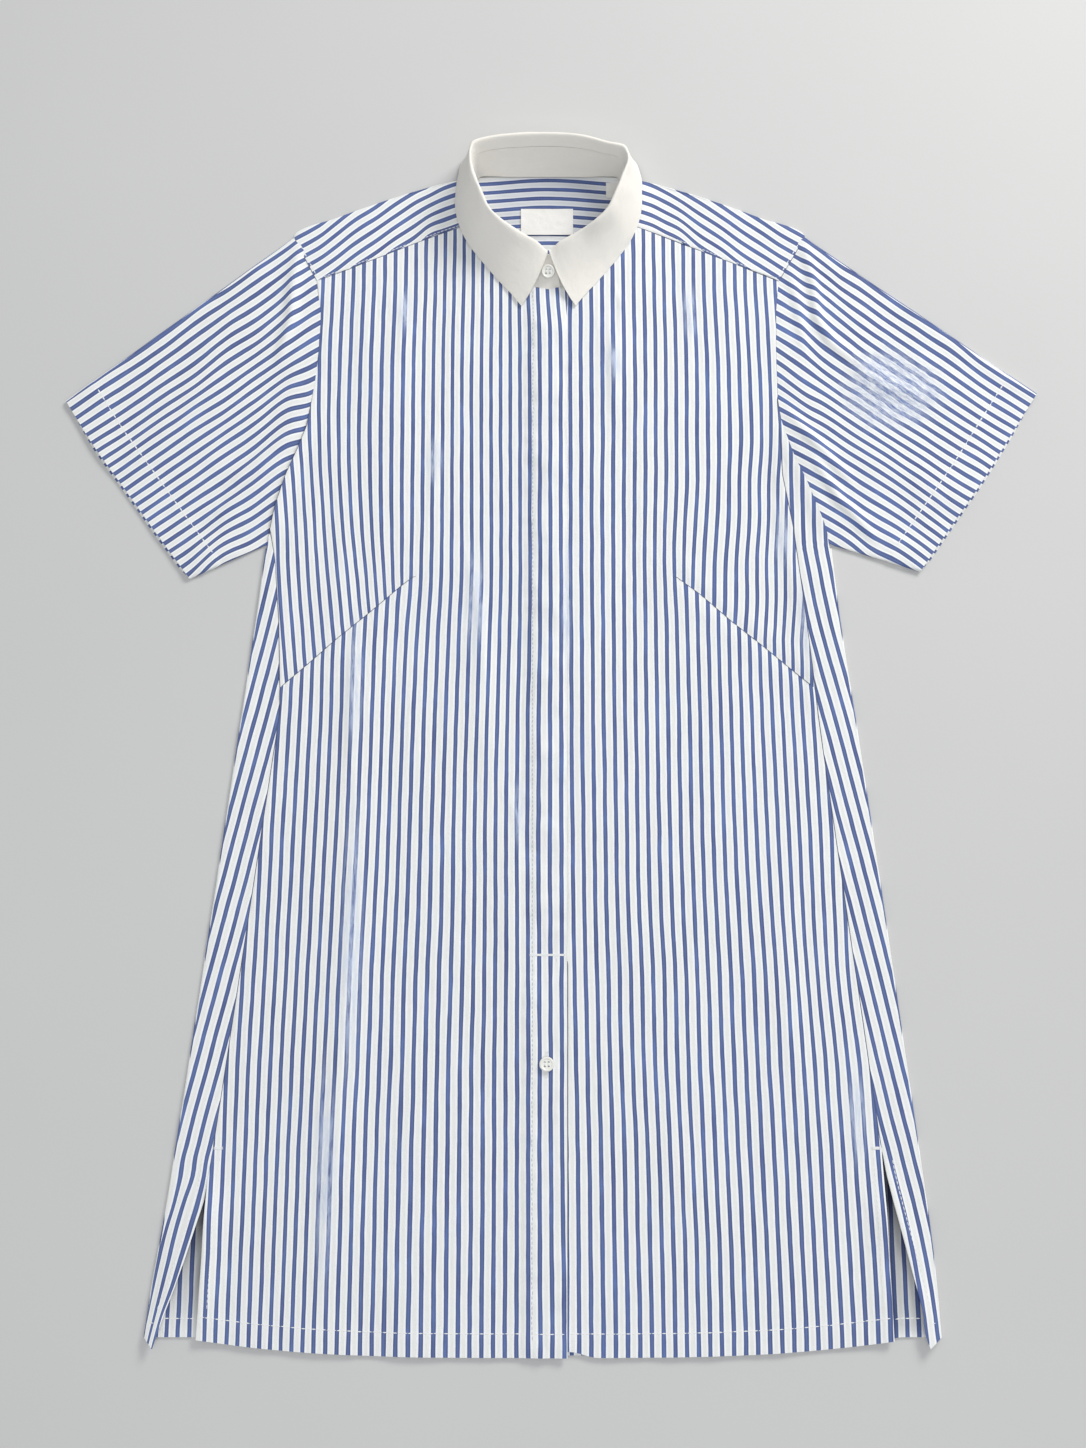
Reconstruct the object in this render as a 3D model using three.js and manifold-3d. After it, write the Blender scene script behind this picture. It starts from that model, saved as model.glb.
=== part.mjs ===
// Short-sleeved A-line shirt dress, buttoned and laid flat on its back.
// Millimetres. While it is drawn, x runs across from the centre front line
// (plus x is the wearer's left), y runs up from the middle of the front hem to
// the neck, and z up from the surface that the dress lies on. The whole group
// is then moved so that the middle of its base is the origin.
import * as THREE from 'three';
import { mergeVertices } from 'three/addons/utils/BufferGeometryUtils.js';
import Module from 'manifold-3d';

// ---------------------------------------------------------------- sizes
const CLOTH = 1.0;            // thickness of every cloth wall
const GAP = 0.3;              // clear space between two pieces
const LOW = CLOTH / 2;        // middle of the cloth that lies on the surface
const HIGH = LOW + CLOTH + GAP;   // middle of the cloth that lies on that
const TOP = HIGH + CLOTH + GAP;   // middle of the button placket, on top again
const FOLD_R = (HIGH - LOW) / 2;  // radius of the folded edges, to mid cloth
const SEAM = 0.18;            // half of the plan gap at an edge-to-edge seam
const ORIGIN = [-2.39, -481.2, 0]; // moves the middle of the base to 0, 0, 0

const SLIT_TOP = 146;         // top of the side slits
const UNDERARM = 612;         // where the side folds end
const HEM_RISE = 12.6;        // the front hem curves up this far at the slits
const HEM_POWER = 3.3;
const HEM_HALF = 257;
const BACK_HEM_UP = 1.5;      // the back hem hides this far behind the front
const BACK_YOKE_SEAM = 838.6;

const PLACKET_STITCH = -15.1; // line where the folded placket starts
const PLACKET_RAMP = -20.5;   // and where the front starts to rise to it
const PLACKET_EDGE_TOP = 15.2, PLACKET_EDGE_HEM = 13.2;
const UNDER_EDGE = -12.6;     // free edge of the other front, below the placket
const NECK_GAP = 1.15;        // from the neck seam line to a panel's edge

const BUTTON_D = 11.2, BUTTON_H = 2.0, BUTTON_RIM = 1.5, HOLE_D = 1.5, HOLE_STEP = 2.9;
const FLY_D = 11.5, FLY_H = 1.4, FLY_X = -1.7, FLY_LIFT = 2.15, FLY_SPREAD = 13.5, FLY_DIP = 0.42;
const FLY_FIRST = 328.1, FLY_STEP = 58.7, FLY_COUNT = 9;
const HEM_BUTTON = { x: -1.7, y: 208.6 };
const COLLAR_BUTTON_UP = 0.47; // how far up the stand the collar button sits

const LABEL = { x: -1.2, y: 891.5, w: 43.3, h: 23.3, t: 0.6 };
const TAB = { x: 50.5, y: 921, w: 12.5, h: 12.5, t: 0.6 };

// Side folds of the back, which shows round the sides as a strip.
const SIDES = [
  { y: 11.8, foldL: -295.8, foldR: 286.3 },
  { y: 54, foldL: -291.0, foldR: 284.2 },
  { y: 96, foldL: -284.6, foldR: 280.8 },
  { y: 182, foldL: -274.0, foldR: 271.7 },
  { y: 316, foldL: -258.4, foldR: 257.4 },
  { y: 455, foldL: -242.6, foldR: 242.0 },
  { y: 552, foldL: -231.6, foldR: 230.6 },
  { y: 612, foldL: -225.5, foldR: 225.5 },
];
// Side seams, which lie forward of the side folds.
const SEAMS = [
  { y: 11.8, left: -257.0, right: 251.0 },
  { y: 125, left: -253.0, right: 248.2 },
  { y: 146, left: -250.2, right: 247.4 },
  { y: 479, left: -210.2, right: 210.0 },
  { y: 552, left: -213.4, right: 203.2 },
  { y: 600, left: -217.9, right: 198.4 },
  { y: 625, left: -222.4, right: 195.6 },
  { y: 671, left: -222.4, right: 187.9 },
  { y: 736, left: -222.4, right: 185.6 },
];
// Free edges of the side strips below the slit tops.
const WRAPS = [
  { y: 7, left: -288.3, right: 276.6 },
  { y: 22, left: -285.6, right: 274.2 },
  { y: 146, left: -250.6, right: 247.8 },
];
// Armhole seams, alike on the front and the back.
const ARMHOLES = [
  { y: 600, left: -226.9, right: 227.4 },
  { y: 625, left: -222.8, right: 222.4 },
  { y: 645, left: -219.2, right: 215.2 },
  { y: 671, left: -211.4, right: 205.6 },
  { y: 692, left: -202.8, right: 195.0 },
  { y: 713, left: -195.6, right: 188.9 },
  { y: 736, left: -192.2, right: 186.1 },
  { y: 778, left: -187.6, right: 185.8 },
  { y: 812, left: -187.4, right: 186.7 },
  { y: 838.6, left: -190.8, right: 189.8 },
  { y: 877.6, left: -211.0, right: 212.6 },
];
// Shoulder folds and front yoke seams: each row is a line across the yoke from
// (fold, foldY) on the shoulder to (seam, seamY) on the front, by distance from
// the centre. The first row is at the armhole and the last at the neck.
const SHOULDERS = [
  { fold: 211.8, foldY: 877.6, seam: 190.0, seamY: 838.6 },
  { fold: 182, foldY: 892.5, seam: 163, seamY: 850.0 },
  { fold: 152, foldY: 904.4, seam: 138, seamY: 860.4 },
  { fold: 122, foldY: 915.2, seam: 113, seamY: 871.2 },
  { fold: 92, foldY: 924.6, seam: 88, seamY: 881.4 },
  { fold: 64.2, foldY: 931.6, seam: 64.15, seamY: 890.0 },
];
// Sleeve cuffs, from the shoulder fold to the underarm fold.
const CUFFS = [
  { f: 0.00, leftX: -392.0, leftY: 734.4, rightX: 396.8, rightY: 740.4 },
  { f: 0.25, leftX: -366.3, leftY: 694.4, rightX: 372.0, rightY: 702.2 },
  { f: 0.50, leftX: -338.6, leftY: 656.8, rightX: 347.6, rightY: 664.6 },
  { f: 0.75, leftX: -312.4, leftY: 621.0, rightX: 321.6, rightY: 627.8 },
  { f: 1.00, leftX: -285.6, leftY: 585.4, rightX: 295.8, rightY: 591.4 },
];
// Collar, a section for each row from the centre front to the centre back:
// n is the neck seam, f the fold that shows, e the free edge of the leaf.
// roll is how far below the fold the stand ends, hang is 1 where the leaf drops
// straight behind, and pull is how far out the middle of the leaf goes.
const COLLAR = [
  { nx: 0, ny: 832.0, nz: 1.8, fx: 1.2, fy: 858.5, fz: 12.0, ex: 22.3, ey: 816.0, ez: 3.5, roll: 3, hang: 0, pull: 0.42 },
  { nx: 16, ny: 833.7, nz: 1.8, fx: 9.5, fy: 864.5, fz: 16.0, ex: 30.5, ey: 826.6, ez: 3.4, roll: 4, hang: 0, pull: 0.52 },
  { nx: 32, ny: 839.0, nz: 1.8, fx: 23.0, fy: 871.0, fz: 20.0, ex: 41.0, ey: 838.5, ez: 3.2, roll: 6, hang: 0, pull: 0.6 },
  { nx: 46, ny: 848.0, nz: 1.8, fx: 37.0, fy: 878.5, fz: 25.5, ex: 54.0, ey: 854.5, ez: 3.2, roll: 8, hang: 0, pull: 0.72 },
  { nx: 57, ny: 861.0, nz: 1.8, fx: 47.5, fy: 887.5, fz: 29.5, ex: 66.0, ey: 871.0, ez: 3.2, roll: 9, hang: 0, pull: 0.72 },
  { nx: 62, ny: 875.0, nz: 1.8, fx: 53.0, fy: 898.5, fz: 32.0, ex: 73.5, ey: 887.0, ez: 3.2, roll: 10, hang: 0, pull: 0.6 },
  { nx: 63, ny: 890.0, nz: 1.8, fx: 57.5, fy: 909.5, fz: 33.0, ex: 77.0, ey: 902.0, ez: 3.2, roll: 10, hang: 0, pull: 0.6 },
  { nx: 62.8, ny: 906.0, nz: 1.8, fx: 61.5, fy: 921.0, fz: 33.0, ex: 77.5, ey: 916.0, ez: 3.2, roll: 10, hang: 0.1, pull: 0.6 },
  { nx: 62.0, ny: 921.0, nz: 1.8, fx: 64.5, fy: 932.0, fz: 32.0, ex: 78.0, ey: 931.0, ez: 3.4, roll: 10, hang: 0.3, pull: 0.6 },
  { nx: 58.5, ny: 931.5, nz: 1.9, fx: 64.0, fy: 942.0, fz: 30.5, ex: 74.0, ey: 945.0, ez: 1.2, roll: 10, hang: 0.7, pull: 0.6 },
  { nx: 48.0, ny: 933.8, nz: 1.0, fx: 58.0, fy: 949.5, fz: 29.0, ex: 62.0, ey: 953.5, ez: 0.55, roll: 10, hang: 1, pull: 0.6 },
  { nx: 33.0, ny: 933.2, nz: 0.5, fx: 40.0, fy: 955.0, fz: 27.0, ex: 42.0, ey: 955.5, ez: 0.55, roll: 10, hang: 1, pull: 0.6 },
  { nx: 16.0, ny: 933.2, nz: 0.5, fx: 20.0, fy: 957.5, fz: 25.5, ex: 20.5, ey: 954.5, ez: 0.55, roll: 10, hang: 1, pull: 0.6 },
  { nx: 0, ny: 933.2, nz: 0.5, fx: 0, fy: 958.5, fz: 25.0, ex: 0, ey: 954.0, ez: 0.55, roll: 10, hang: 1, pull: 0.6 },
];
const ROLL_R = 1.35;          // radius of the turn at the collar's fold
// Soft creases pressed up in the cloth of the two fronts.
const CREASES = [
  { x0: -122, y0: 806, x1: -118, y1: 690, wide: 13, high: 1.6 },
  { x0: 54, y0: 812, x1: 56, y1: 720, wide: 13, high: 1.8 },
  { x0: -62, y0: 590, x1: -50, y1: 440, wide: 12, high: 1.8 },
  { x0: -152, y0: 520, x1: -158, y1: 60, wide: 17, high: 2.4 },
  { x0: 196, y0: 640, x1: 214, y1: 470, wide: 14, high: 2.2 },
  { x0: -30, y0: 380, x1: -26, y1: 250, wide: 11, high: 1.4 },
  { x0: 176, y0: 300, x1: 186, y1: 180, wide: 15, high: 1.5 },
];

// ------------------------------------------------------------ small tools
const mix = (a, b, t) => a + (b - a) * t;
const clamp = (v, a, b) => Math.min(b, Math.max(a, v));
const smooth = (t) => { const c = clamp(t, 0, 1); return c * c * (3 - 2 * c); };

// Smooth curve through the rows of a table, read by one of its columns.
function read(rows, key, column, v) {
  const n = rows.length;
  let i = 0;
  while (i < n - 2 && v > rows[i + 1][key]) i++;
  const a = rows[i], b = rows[i + 1];
  const h = b[key] - a[key];
  const t = clamp((v - a[key]) / h, 0, 1);
  const slope = (k) => {
    const lo = rows[Math.max(0, k - 1)], hi = rows[Math.min(n - 1, k + 1)];
    return (hi[column] - lo[column]) / (hi[key] - lo[key]);
  };
  const t2 = t * t, t3 = t2 * t;
  return (2 * t3 - 3 * t2 + 1) * a[column] + (t3 - 2 * t2 + t) * h * slope(i)
    + (3 * t2 - 2 * t3) * b[column] + (t3 - t2) * h * slope(i + 1);
}
// Straight between the rows, for edges that have corners.
function readStraight(rows, key, column, v) {
  let i = 0;
  while (i < rows.length - 2 && v > rows[i + 1][key]) i++;
  const a = rows[i], b = rows[i + 1];
  return mix(a[column], b[column], clamp((v - a[key]) / (b[key] - a[key]), 0, 1));
}
const side = (s) => (s < 0 ? 'left' : 'right');
const foldX = (s, y) => read(SIDES, 'y', s < 0 ? 'foldL' : 'foldR', y);
const seamX = (s, y) => readStraight(SEAMS, 'y', side(s), y);
const wrapX = (s, y) => readStraight(WRAPS, 'y', side(s), y);
const armX = (s, y) => readStraight(ARMHOLES, 'y', side(s), y);
const hemY = (x) => HEM_RISE * Math.pow(Math.min(1, Math.abs(x) / HEM_HALF), HEM_POWER);

// Collar table read at g, from 0 at the centre front to its last row at the
// centre back, with rows mirrored past both ends.
const LAST = COLLAR.length - 1;
function collarRow(g) {
  const at = (k) => {
    let m = k, flip = 1;
    if (m < 0) { m = -m; flip = -1; }
    if (m > LAST) { m = 2 * LAST - m; flip = -flip; }
    const r = COLLAR[m];
    return flip > 0 ? r : { ...r, nx: -r.nx, fx: -r.fx, ex: -r.ex };
  };
  const i = Math.floor(g), t = g - i;
  const p = at(i - 1), a = at(i), b = at(i + 1), c = at(i + 2);
  const out = {};
  for (const k of Object.keys(a)) {
    // the leaf ends in a point at the centre front, so its edge isn't mirrored there
    const before = i === 0 && k[0] === 'e' ? 2 * a[k] - b[k] : p[k];
    const m0 = (b[k] - before) / 2, m1 = (c[k] - a[k]) / 2, t2 = t * t, t3 = t2 * t;
    out[k] = (2 * t3 - 3 * t2 + 1) * a[k] + (t3 - 2 * t2 + t) * m0
      + (3 * t2 - 2 * t3) * b[k] + (t3 - t2) * m1;
  }
  return out;
}
// The neck seam line in plan, moved out by d.
function neckEdge(g, d) {
  const r = collarRow(g), a = collarRow(g - 0.02), b = collarRow(g + 0.02);
  const tx = b.nx - a.nx, ty = b.ny - a.ny, l = Math.hypot(tx, ty);
  return [r.nx + (ty / l) * d, r.ny - (tx / l) * d];
}
function creaseLift(x, y) {
  let z = 0;
  for (const c of CREASES) {
    const dx = c.x1 - c.x0, dy = c.y1 - c.y0, l2 = dx * dx + dy * dy;
    const t = clamp(((x - c.x0) * dx + (y - c.y0) * dy) / l2, 0, 1);
    const d = Math.hypot(x - c.x0 - t * dx, y - c.y0 - t * dy);
    const ends = Math.sin(Math.PI * clamp(t, 0.02, 0.98));
    z += c.high * Math.sqrt(ends) * Math.exp(-((d / c.wide) ** 2));
  }
  return z;
}
// The placket stands on its folded layers and buttons, and dips between them.
function flyLift(x, y) {
  const last = FLY_FIRST + (FLY_COUNT - 1) * FLY_STEP;
  const across = FLY_LIFT / (1 + ((x - 0.3) / FLY_SPREAD) ** 4);
  if (y < FLY_FIRST) return across * smooth((y - FLY_FIRST + 40) / 40);
  if (y > last) return across * (1 - 0.75 * smooth((y - last) / 30));
  const k = (y - FLY_FIRST) / FLY_STEP, off = 1 - 2 * Math.abs(k - Math.round(k));
  return across * (1 - FLY_DIP * (1 - off));
}

// A wall of cloth round a net of points on its middle surface. net[i][j] is a
// point, has(i, j) says whether the patch from i, j to i+1, j+1 is there, and
// round joins the last row of points to the first.
function clothWall(net, { has = () => true, round = false, thick = CLOTH } = {}) {
  const ni = net.length, nj = net[0].length;
  const pi = round ? ni : ni - 1;
  const wrap = (i) => (round ? (i + ni) % ni : i);
  const patch = (i, j) => {
    if (j < 0 || j >= nj - 1) return false;
    if (!round && (i < 0 || i >= ni - 1)) return false;
    return has(wrap(i), j);
  };
  const V = (i, j) => new THREE.Vector3(...net[wrap(i)][j]);
  const normals = net.map((row) => row.map(() => new THREE.Vector3()));
  for (let i = 0; i < pi; i++) for (let j = 0; j < nj - 1; j++) {
    if (!patch(i, j)) continue;
    const a = V(i, j), b = V(i + 1, j), c = V(i + 1, j + 1), d = V(i, j + 1);
    const n = c.clone().sub(a).cross(d.clone().sub(b)).normalize();
    for (const [k, m] of [[i, j], [i + 1, j], [i + 1, j + 1], [i, j + 1]]) normals[wrap(k)][m].add(n);
  }
  const index = new Map(), points = [], faces = [];
  const at = (i, j, up) => {
    const key = `${wrap(i)},${j},${up}`;
    if (!index.has(key)) {
      const n = normals[wrap(i)][j].clone().normalize().multiplyScalar(up * thick / 2);
      index.set(key, points.length / 3);
      const p = V(i, j).add(n);
      points.push(p.x, p.y, p.z);
    }
    return index.get(key);
  };
  const quad = (a, b, c, d) => faces.push(a, b, c, a, c, d);
  for (let i = 0; i < pi; i++) for (let j = 0; j < nj - 1; j++) {
    if (!patch(i, j)) continue;
    quad(at(i, j, 1), at(i + 1, j, 1), at(i + 1, j + 1, 1), at(i, j + 1, 1));
    quad(at(i, j, -1), at(i, j + 1, -1), at(i + 1, j + 1, -1), at(i + 1, j, -1));
    if (!patch(i, j - 1)) quad(at(i, j, -1), at(i + 1, j, -1), at(i + 1, j, 1), at(i, j, 1));
    if (!patch(i, j + 1)) quad(at(i + 1, j + 1, -1), at(i, j + 1, -1), at(i, j + 1, 1), at(i + 1, j + 1, 1));
    if (!patch(i - 1, j)) quad(at(i, j + 1, -1), at(i, j, -1), at(i, j, 1), at(i, j + 1, 1));
    if (!patch(i + 1, j)) quad(at(i + 1, j, -1), at(i + 1, j + 1, -1), at(i + 1, j + 1, 1), at(i + 1, j, 1));
  }
  const g = new THREE.BufferGeometry();
  g.setAttribute('position', new THREE.Float32BufferAttribute(points, 3));
  g.setIndex(faces);
  g.computeVertexNormals();
  return g;
}

// ---------------------------------------------------------------- colours
const striped = () => new THREE.MeshStandardMaterial({ color: 0xb3bdd3, roughness: 0.85, metalness: 0 });
const white = () => new THREE.MeshStandardMaterial({ color: 0xeeeeec, roughness: 0.8, metalness: 0 });
const shell = () => new THREE.MeshStandardMaterial({ color: 0xf0efe8, roughness: 0.35, metalness: 0 });
const dress = new THREE.Group();
function addPiece(name, geometry, material) {
  const mesh = new THREE.Mesh(geometry, material);
  mesh.name = name;
  mesh.position.set(...ORIGIN);
  dress.add(mesh);
}
const spread = (n) => Array.from({ length: n + 1 }, (_, k) => k / n);

// ------------------------------------------------------------- back panel
// Columns run from the left side seam, round the left side fold, across the
// back that lies on the surface, round the right fold to the right seam.
{
  // Heights of the rows at the side folds and at the free or sewn edges of the
  // two side strips, from the hem to the underarms.
  const ROWS = [
    { fold: HEM_RISE + BACK_HEM_UP, left: 7, right: 7 },
    { fold: 55, left: 55, right: 55 },
    { fold: 100, left: 100, right: 100 },
    { fold: SLIT_TOP, left: SLIT_TOP, right: SLIT_TOP },
    { fold: 250, left: 257, right: 257 },
    { fold: 350, left: 368, right: 368 },
    { fold: 440, left: 479, right: 479 },
    { fold: 500, left: 515, right: 552 },
    { fold: 545, left: 552, right: 625 },
    { fold: 582, left: 600, right: 671 },
    { fold: UNDERARM - 2, left: 621.5, right: 733 },
  ];
  const UPPER = [625, 645, 671, 692, 713, 736, 778, 812, BACK_YOKE_SEAM - SEAM];
  const STRIP_TOPS = { left: [621.5, 610], right: [733, 713, 692, 671, 645, 625, 610] };
  const TURN = [0.75, 0.5, 0.25];
  const ACROSS = [0, 0.04, 0.12, 0.22, 0.35, 0.5, 0.65, 0.78, 0.88, 0.96, 1];
  const last = ROWS.length - 1;
  const base = ROWS[0].fold, reach = ROWS[last].fold - base;
  const foldAt = (s, y) => foldX(s, y) - s * (LOW + FOLD_R);
  const columns = [];
  for (const s of [-1, 1]) {
    const tops = STRIP_TOPS[side(s)];
    const part = tops.map((top) => ({ s, top, f: (tops[0] - top) / (tops[0] - tops[tops.length - 1]) }));
    for (const turn of TURN) part.push({ s, turn });
    if (s < 0) columns.push(...part);
    else columns.push(...ACROSS.map((across) => ({ across })), ...part.reverse());
  }
  const net = columns.map((c) => {
    const line = [];
    for (let j = 0; j <= last + UPPER.length; j++) {
      const row = ROWS[Math.min(j, last)];
      if (c.across !== undefined) {
        const bottom = hemY(mix(-HEM_HALF, HEM_HALF, c.across)) + BACK_HEM_UP;
        const y = j <= last ? mix(bottom, ROWS[last].fold, (row.fold - base) / reach) : UPPER[j - last - 1];
        const edge = (s) => (j <= last ? foldAt(s, y) : armX(s, y) - s * SEAM);
        line.push([mix(edge(-1), edge(1), c.across), y, LOW]);
      } else if (c.turn !== undefined) {
        const a = Math.PI * c.turn, y = row.fold;
        line.push([foldAt(c.s, y) + c.s * FOLD_R * Math.sin(a), y, LOW + FOLD_R - FOLD_R * Math.cos(a)]);
      } else if (j >= last) {
        line.push([armX(c.s, c.top) - c.s * (SEAM + 0.02 + (LOW + FOLD_R) * smooth(6 * c.f - 5)), c.top, HIGH]);
      } else {
        const ys = row[side(c.s)];
        const xs = (ys < SLIT_TOP ? wrapX(c.s, ys) : seamX(c.s, ys)) + c.s * SEAM;
        line.push([mix(xs, foldAt(c.s, row.fold), c.f), mix(ys, row.fold, c.f), HIGH]);
      }
    }
    return line;
  });
  const lies = (i) => columns[i].across !== undefined && columns[i + 1].across !== undefined;
  addPiece('back_panel', clothWall(net, { has: (i, j) => j < last || lies(i) }), striped());
}

// ----------------------------------------------------------------- fronts
// Columns run from the side seam and armhole to the placket's free edge, rows
// from the hem to the yoke seam and the neck.
const NECK_COLUMNS = [5.5, 4.8, 4.0, 3.2, 2.5, 1.9];   // collar sections
// The collar section at which the panels' neck edge has this x.
function gAt(x) {
  let a = 0, b = 4;
  for (let k = 0; k < 40; k++) {
    const m = (a + b) / 2;
    if (neckEdge(m, NECK_GAP)[0] < Math.abs(x)) a = m; else b = m;
  }
  return (a + b) / 2;
}
function front(s, name, inner, extra) {
  const columns = SHOULDERS.map((r, i) => ({
    x: i === 0 ? Math.abs(armX(s, r.seamY - SEAM)) : r.seam, y: r.seamY - SEAM,
  }));
  for (const g of NECK_COLUMNS) {
    const [x, y] = neckEdge(g, NECK_GAP);
    columns.push({ x, y });
  }
  const outer = columns.length;
  const sideX = (y) => (y < (s < 0 ? 625 : 736) ? seamX(s, y) : armX(s, y)) - s * SEAM;
  const hemStart = sideX(12.6);
  columns.forEach((c, i) => { c.x *= s; c.hem = mix(hemStart, inner[0].hem, i / outer); });
  for (const p of inner) columns.push({ x: p.top, y: neckEdge(gAt(p.top), NECK_GAP)[1], hem: p.hem, z: p.z });
  // Rows at every corner of the side seam and of the armhole, and the extra
  // rows that are not close to one of these.
  const y0 = hemY(columns[0].hem), y1 = columns[0].y;
  const corners = [...SEAMS, ...ARMHOLES].map((r) => r.y)
    .filter((y) => y > 130 && y < y1 - 1 && (s < 0 ? y !== 671.5 : true));
  const rows = [0, 1];
  const add = (t, least) => { if (rows.every((r) => Math.abs(r - t) > least)) rows.push(t); };
  for (const y of corners) add((y - y0) / (y1 - y0), 1e-6);
  for (const t of extra) add(t, 0.012);
  rows.sort((a, b) => a - b);
  const net = columns.map((c, i) => {
    const w = Math.pow(Math.max(0, 1 - i / outer), 1.4);
    return rows.map((t) => {
      const y = mix(hemY(c.hem), c.y, t);
      const y00 = mix(y0, y1, t);
      const off = sideX(y00) - mix(columns[0].hem, columns[0].x, t);
      const x = mix(c.hem, c.x, t) + w * off;
      return [x, y, c.z ? c.z(x, y) : HIGH + creaseLift(x, y)];
    });
  });
  if (s > 0) net.reverse();
  addPiece(name, clothWall(net), striped());
}
const flat = () => HIGH;
const placketZ = (x, y) => TOP + flyLift(x, y);
{
  const high = neckEdge(gAt(FLY_X), NECK_GAP)[1];
  const fly = [];
  for (let k = 0; k < FLY_COUNT; k++) fly.push((FLY_FIRST + k * FLY_STEP) / high);
  for (let k = 0; k < FLY_COUNT - 1; k++) fly.push((FLY_FIRST + (k + 0.5) * FLY_STEP) / high);
  front(-1, 'front_right', [
    { top: PLACKET_RAMP, hem: PLACKET_RAMP, z: flat },
    { top: PLACKET_STITCH, hem: PLACKET_STITCH, z: () => TOP },
    { top: -9.5, hem: -9.5, z: placketZ },
    { top: FLY_X, hem: FLY_X, z: placketZ },
    { top: 6.5, hem: 6.0, z: placketZ },
    { top: PLACKET_EDGE_TOP, hem: PLACKET_EDGE_HEM, z: placketZ },
  ], [...fly, 0.07, 0.12, 0.22, 0.27, 0.33]);
  front(1, 'front_left', [
    { top: 22, hem: 22, z: flat },
    { top: 5, hem: 5, z: flat },
    { top: UNDER_EDGE, hem: UNDER_EDGE, z: flat },
  ], [0.08, 0.25, 0.33, 0.41, 0.49, 0.72]);
}

// ------------------------------------------------------------------- yoke
// The back of the yoke lies on the surface. Its two ends fold forward over the
// shoulders and end at the front yoke seams.
{
  const NECK_LINE = 931.4;
  const columns = [];
  for (const s of [-1, 1]) {
    const part = SHOULDERS.map((r, k) => ({ s, k, ...r }));
    for (const x of [52, 36, 18]) part.push({ s, k: 9, fold: x });
    if (s < 0) columns.push(...part, { s: 1, k: 9, fold: 0 });
    else columns.push(...part.reverse());
  }
  const PLATE = [0, 0.35, 0.7, 1], TURN = [0.25, 0.5, 0.75], FLAP = [0, 0.34, 0.67, 1];
  const wide = SHOULDERS[0];
  const net = columns.map((c) => {
    const out = [];
    const foldY = c.seam ? c.foldY - LOW - FOLD_R : NECK_LINE;
    const edge = (y) => Math.abs(armX(c.s, y)) - SEAM;
    for (const t of PLATE) {
      const y = mix(BACK_YOKE_SEAM + SEAM, foldY, t);
      const x = c.k === 0 ? edge(y) : mix(c.fold * wide.seam / wide.fold, c.fold, t);
      out.push([c.s * x, y, LOW]);
    }
    for (const t of TURN) {
      const a = Math.PI * t, y = foldY + FOLD_R * Math.sin(a);
      out.push([c.s * (c.k === 0 ? edge(y) : c.fold), y, LOW + FOLD_R - FOLD_R * Math.cos(a)]);
    }
    for (const t of FLAP) {
      const y = mix(foldY, (c.seamY ?? 0) + SEAM, t);
      out.push([c.s * (c.k === 0 ? edge(y) : mix(c.fold, c.seam ?? 0, t)), y, HIGH]);
    }
    return out;
  });
  const has = (i, j) => j < PLATE.length - 1 || (columns[i].seam > 0 && columns[i + 1].seam > 0);
  addPiece('yoke', clothWall(net, { has }), striped());
}

// ---------------------------------------------------------------- sleeves
// Flattened tubes: round the upper layer, the underarm fold, the lower layer
// and the shoulder fold. Open at the armhole and at the cuff.
function sleeve(s, name) {
  const SHOULDER_Y = 877.2, UNDER_Y = UNDERARM + 1.5;
  const nodes = ARMHOLES.map((r) => r.y).filter((y) => y > UNDER_Y + 4 && y < SHOULDER_Y - 4).reverse();
  const shares = nodes.map((y) => (SHOULDER_Y - y) / (SHOULDER_Y - UNDER_Y));
  const TURN = [0.25, 0.5, 0.75], ALONG = [0, 0.2, 0.4, 0.6, 0.8, 1];
  const key = s < 0 ? ['leftX', 'leftY'] : ['rightX', 'rightY'];
  const point = (u, f) => {
    const y = mix(SHOULDER_Y, UNDER_Y, f);
    return [mix(armX(s, y) + s * (SEAM + 0.04), read(CUFFS, 'f', key[0], f), u),
      mix(y, read(CUFFS, 'f', key[1], f), u)];
  };
  const ring = [{ f: 0, z: HIGH }, ...shares.map((f) => ({ f, z: HIGH })), { f: 1, z: HIGH }];
  for (const turn of TURN) ring.push({ f: 1, turn });
  ring.push({ f: 1, z: LOW }, ...[...shares].reverse().map((f) => ({ f, z: LOW })), { f: 0, z: LOW });
  for (const turn of TURN) ring.push({ f: 0, turn });
  const net = ring.map((r) => ALONG.map((u) => {
    if (r.f > 0 && r.f < 1) return [...point(u, r.f), r.z];
    // At the two folds the rows stop short by the radius of the turn.
    const a = point(u, r.f), b = point(u, r.f === 0 ? 0.02 : 0.98);
    const l = Math.hypot(b[0] - a[0], b[1] - a[1]);
    const d = [(a[0] - b[0]) / l, (a[1] - b[1]) / l];
    const inset = LOW + FOLD_R, angle = Math.PI * (r.turn ?? 0);
    const out = r.turn ? FOLD_R * Math.sin(angle) : 0;
    const z = r.turn ? LOW + FOLD_R + FOLD_R * Math.cos(angle) * (r.f === 1 ? 1 : -1) : r.z;
    return [a[0] + d[0] * (out - inset), a[1] + d[1] * (out - inset), z];
  }));
  if (s < 0) net.reverse();
  addPiece(name, clothWall(net, { round: true }), striped());
}
sleeve(-1, 'sleeve_right');
sleeve(1, 'sleeve_left');

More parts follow.
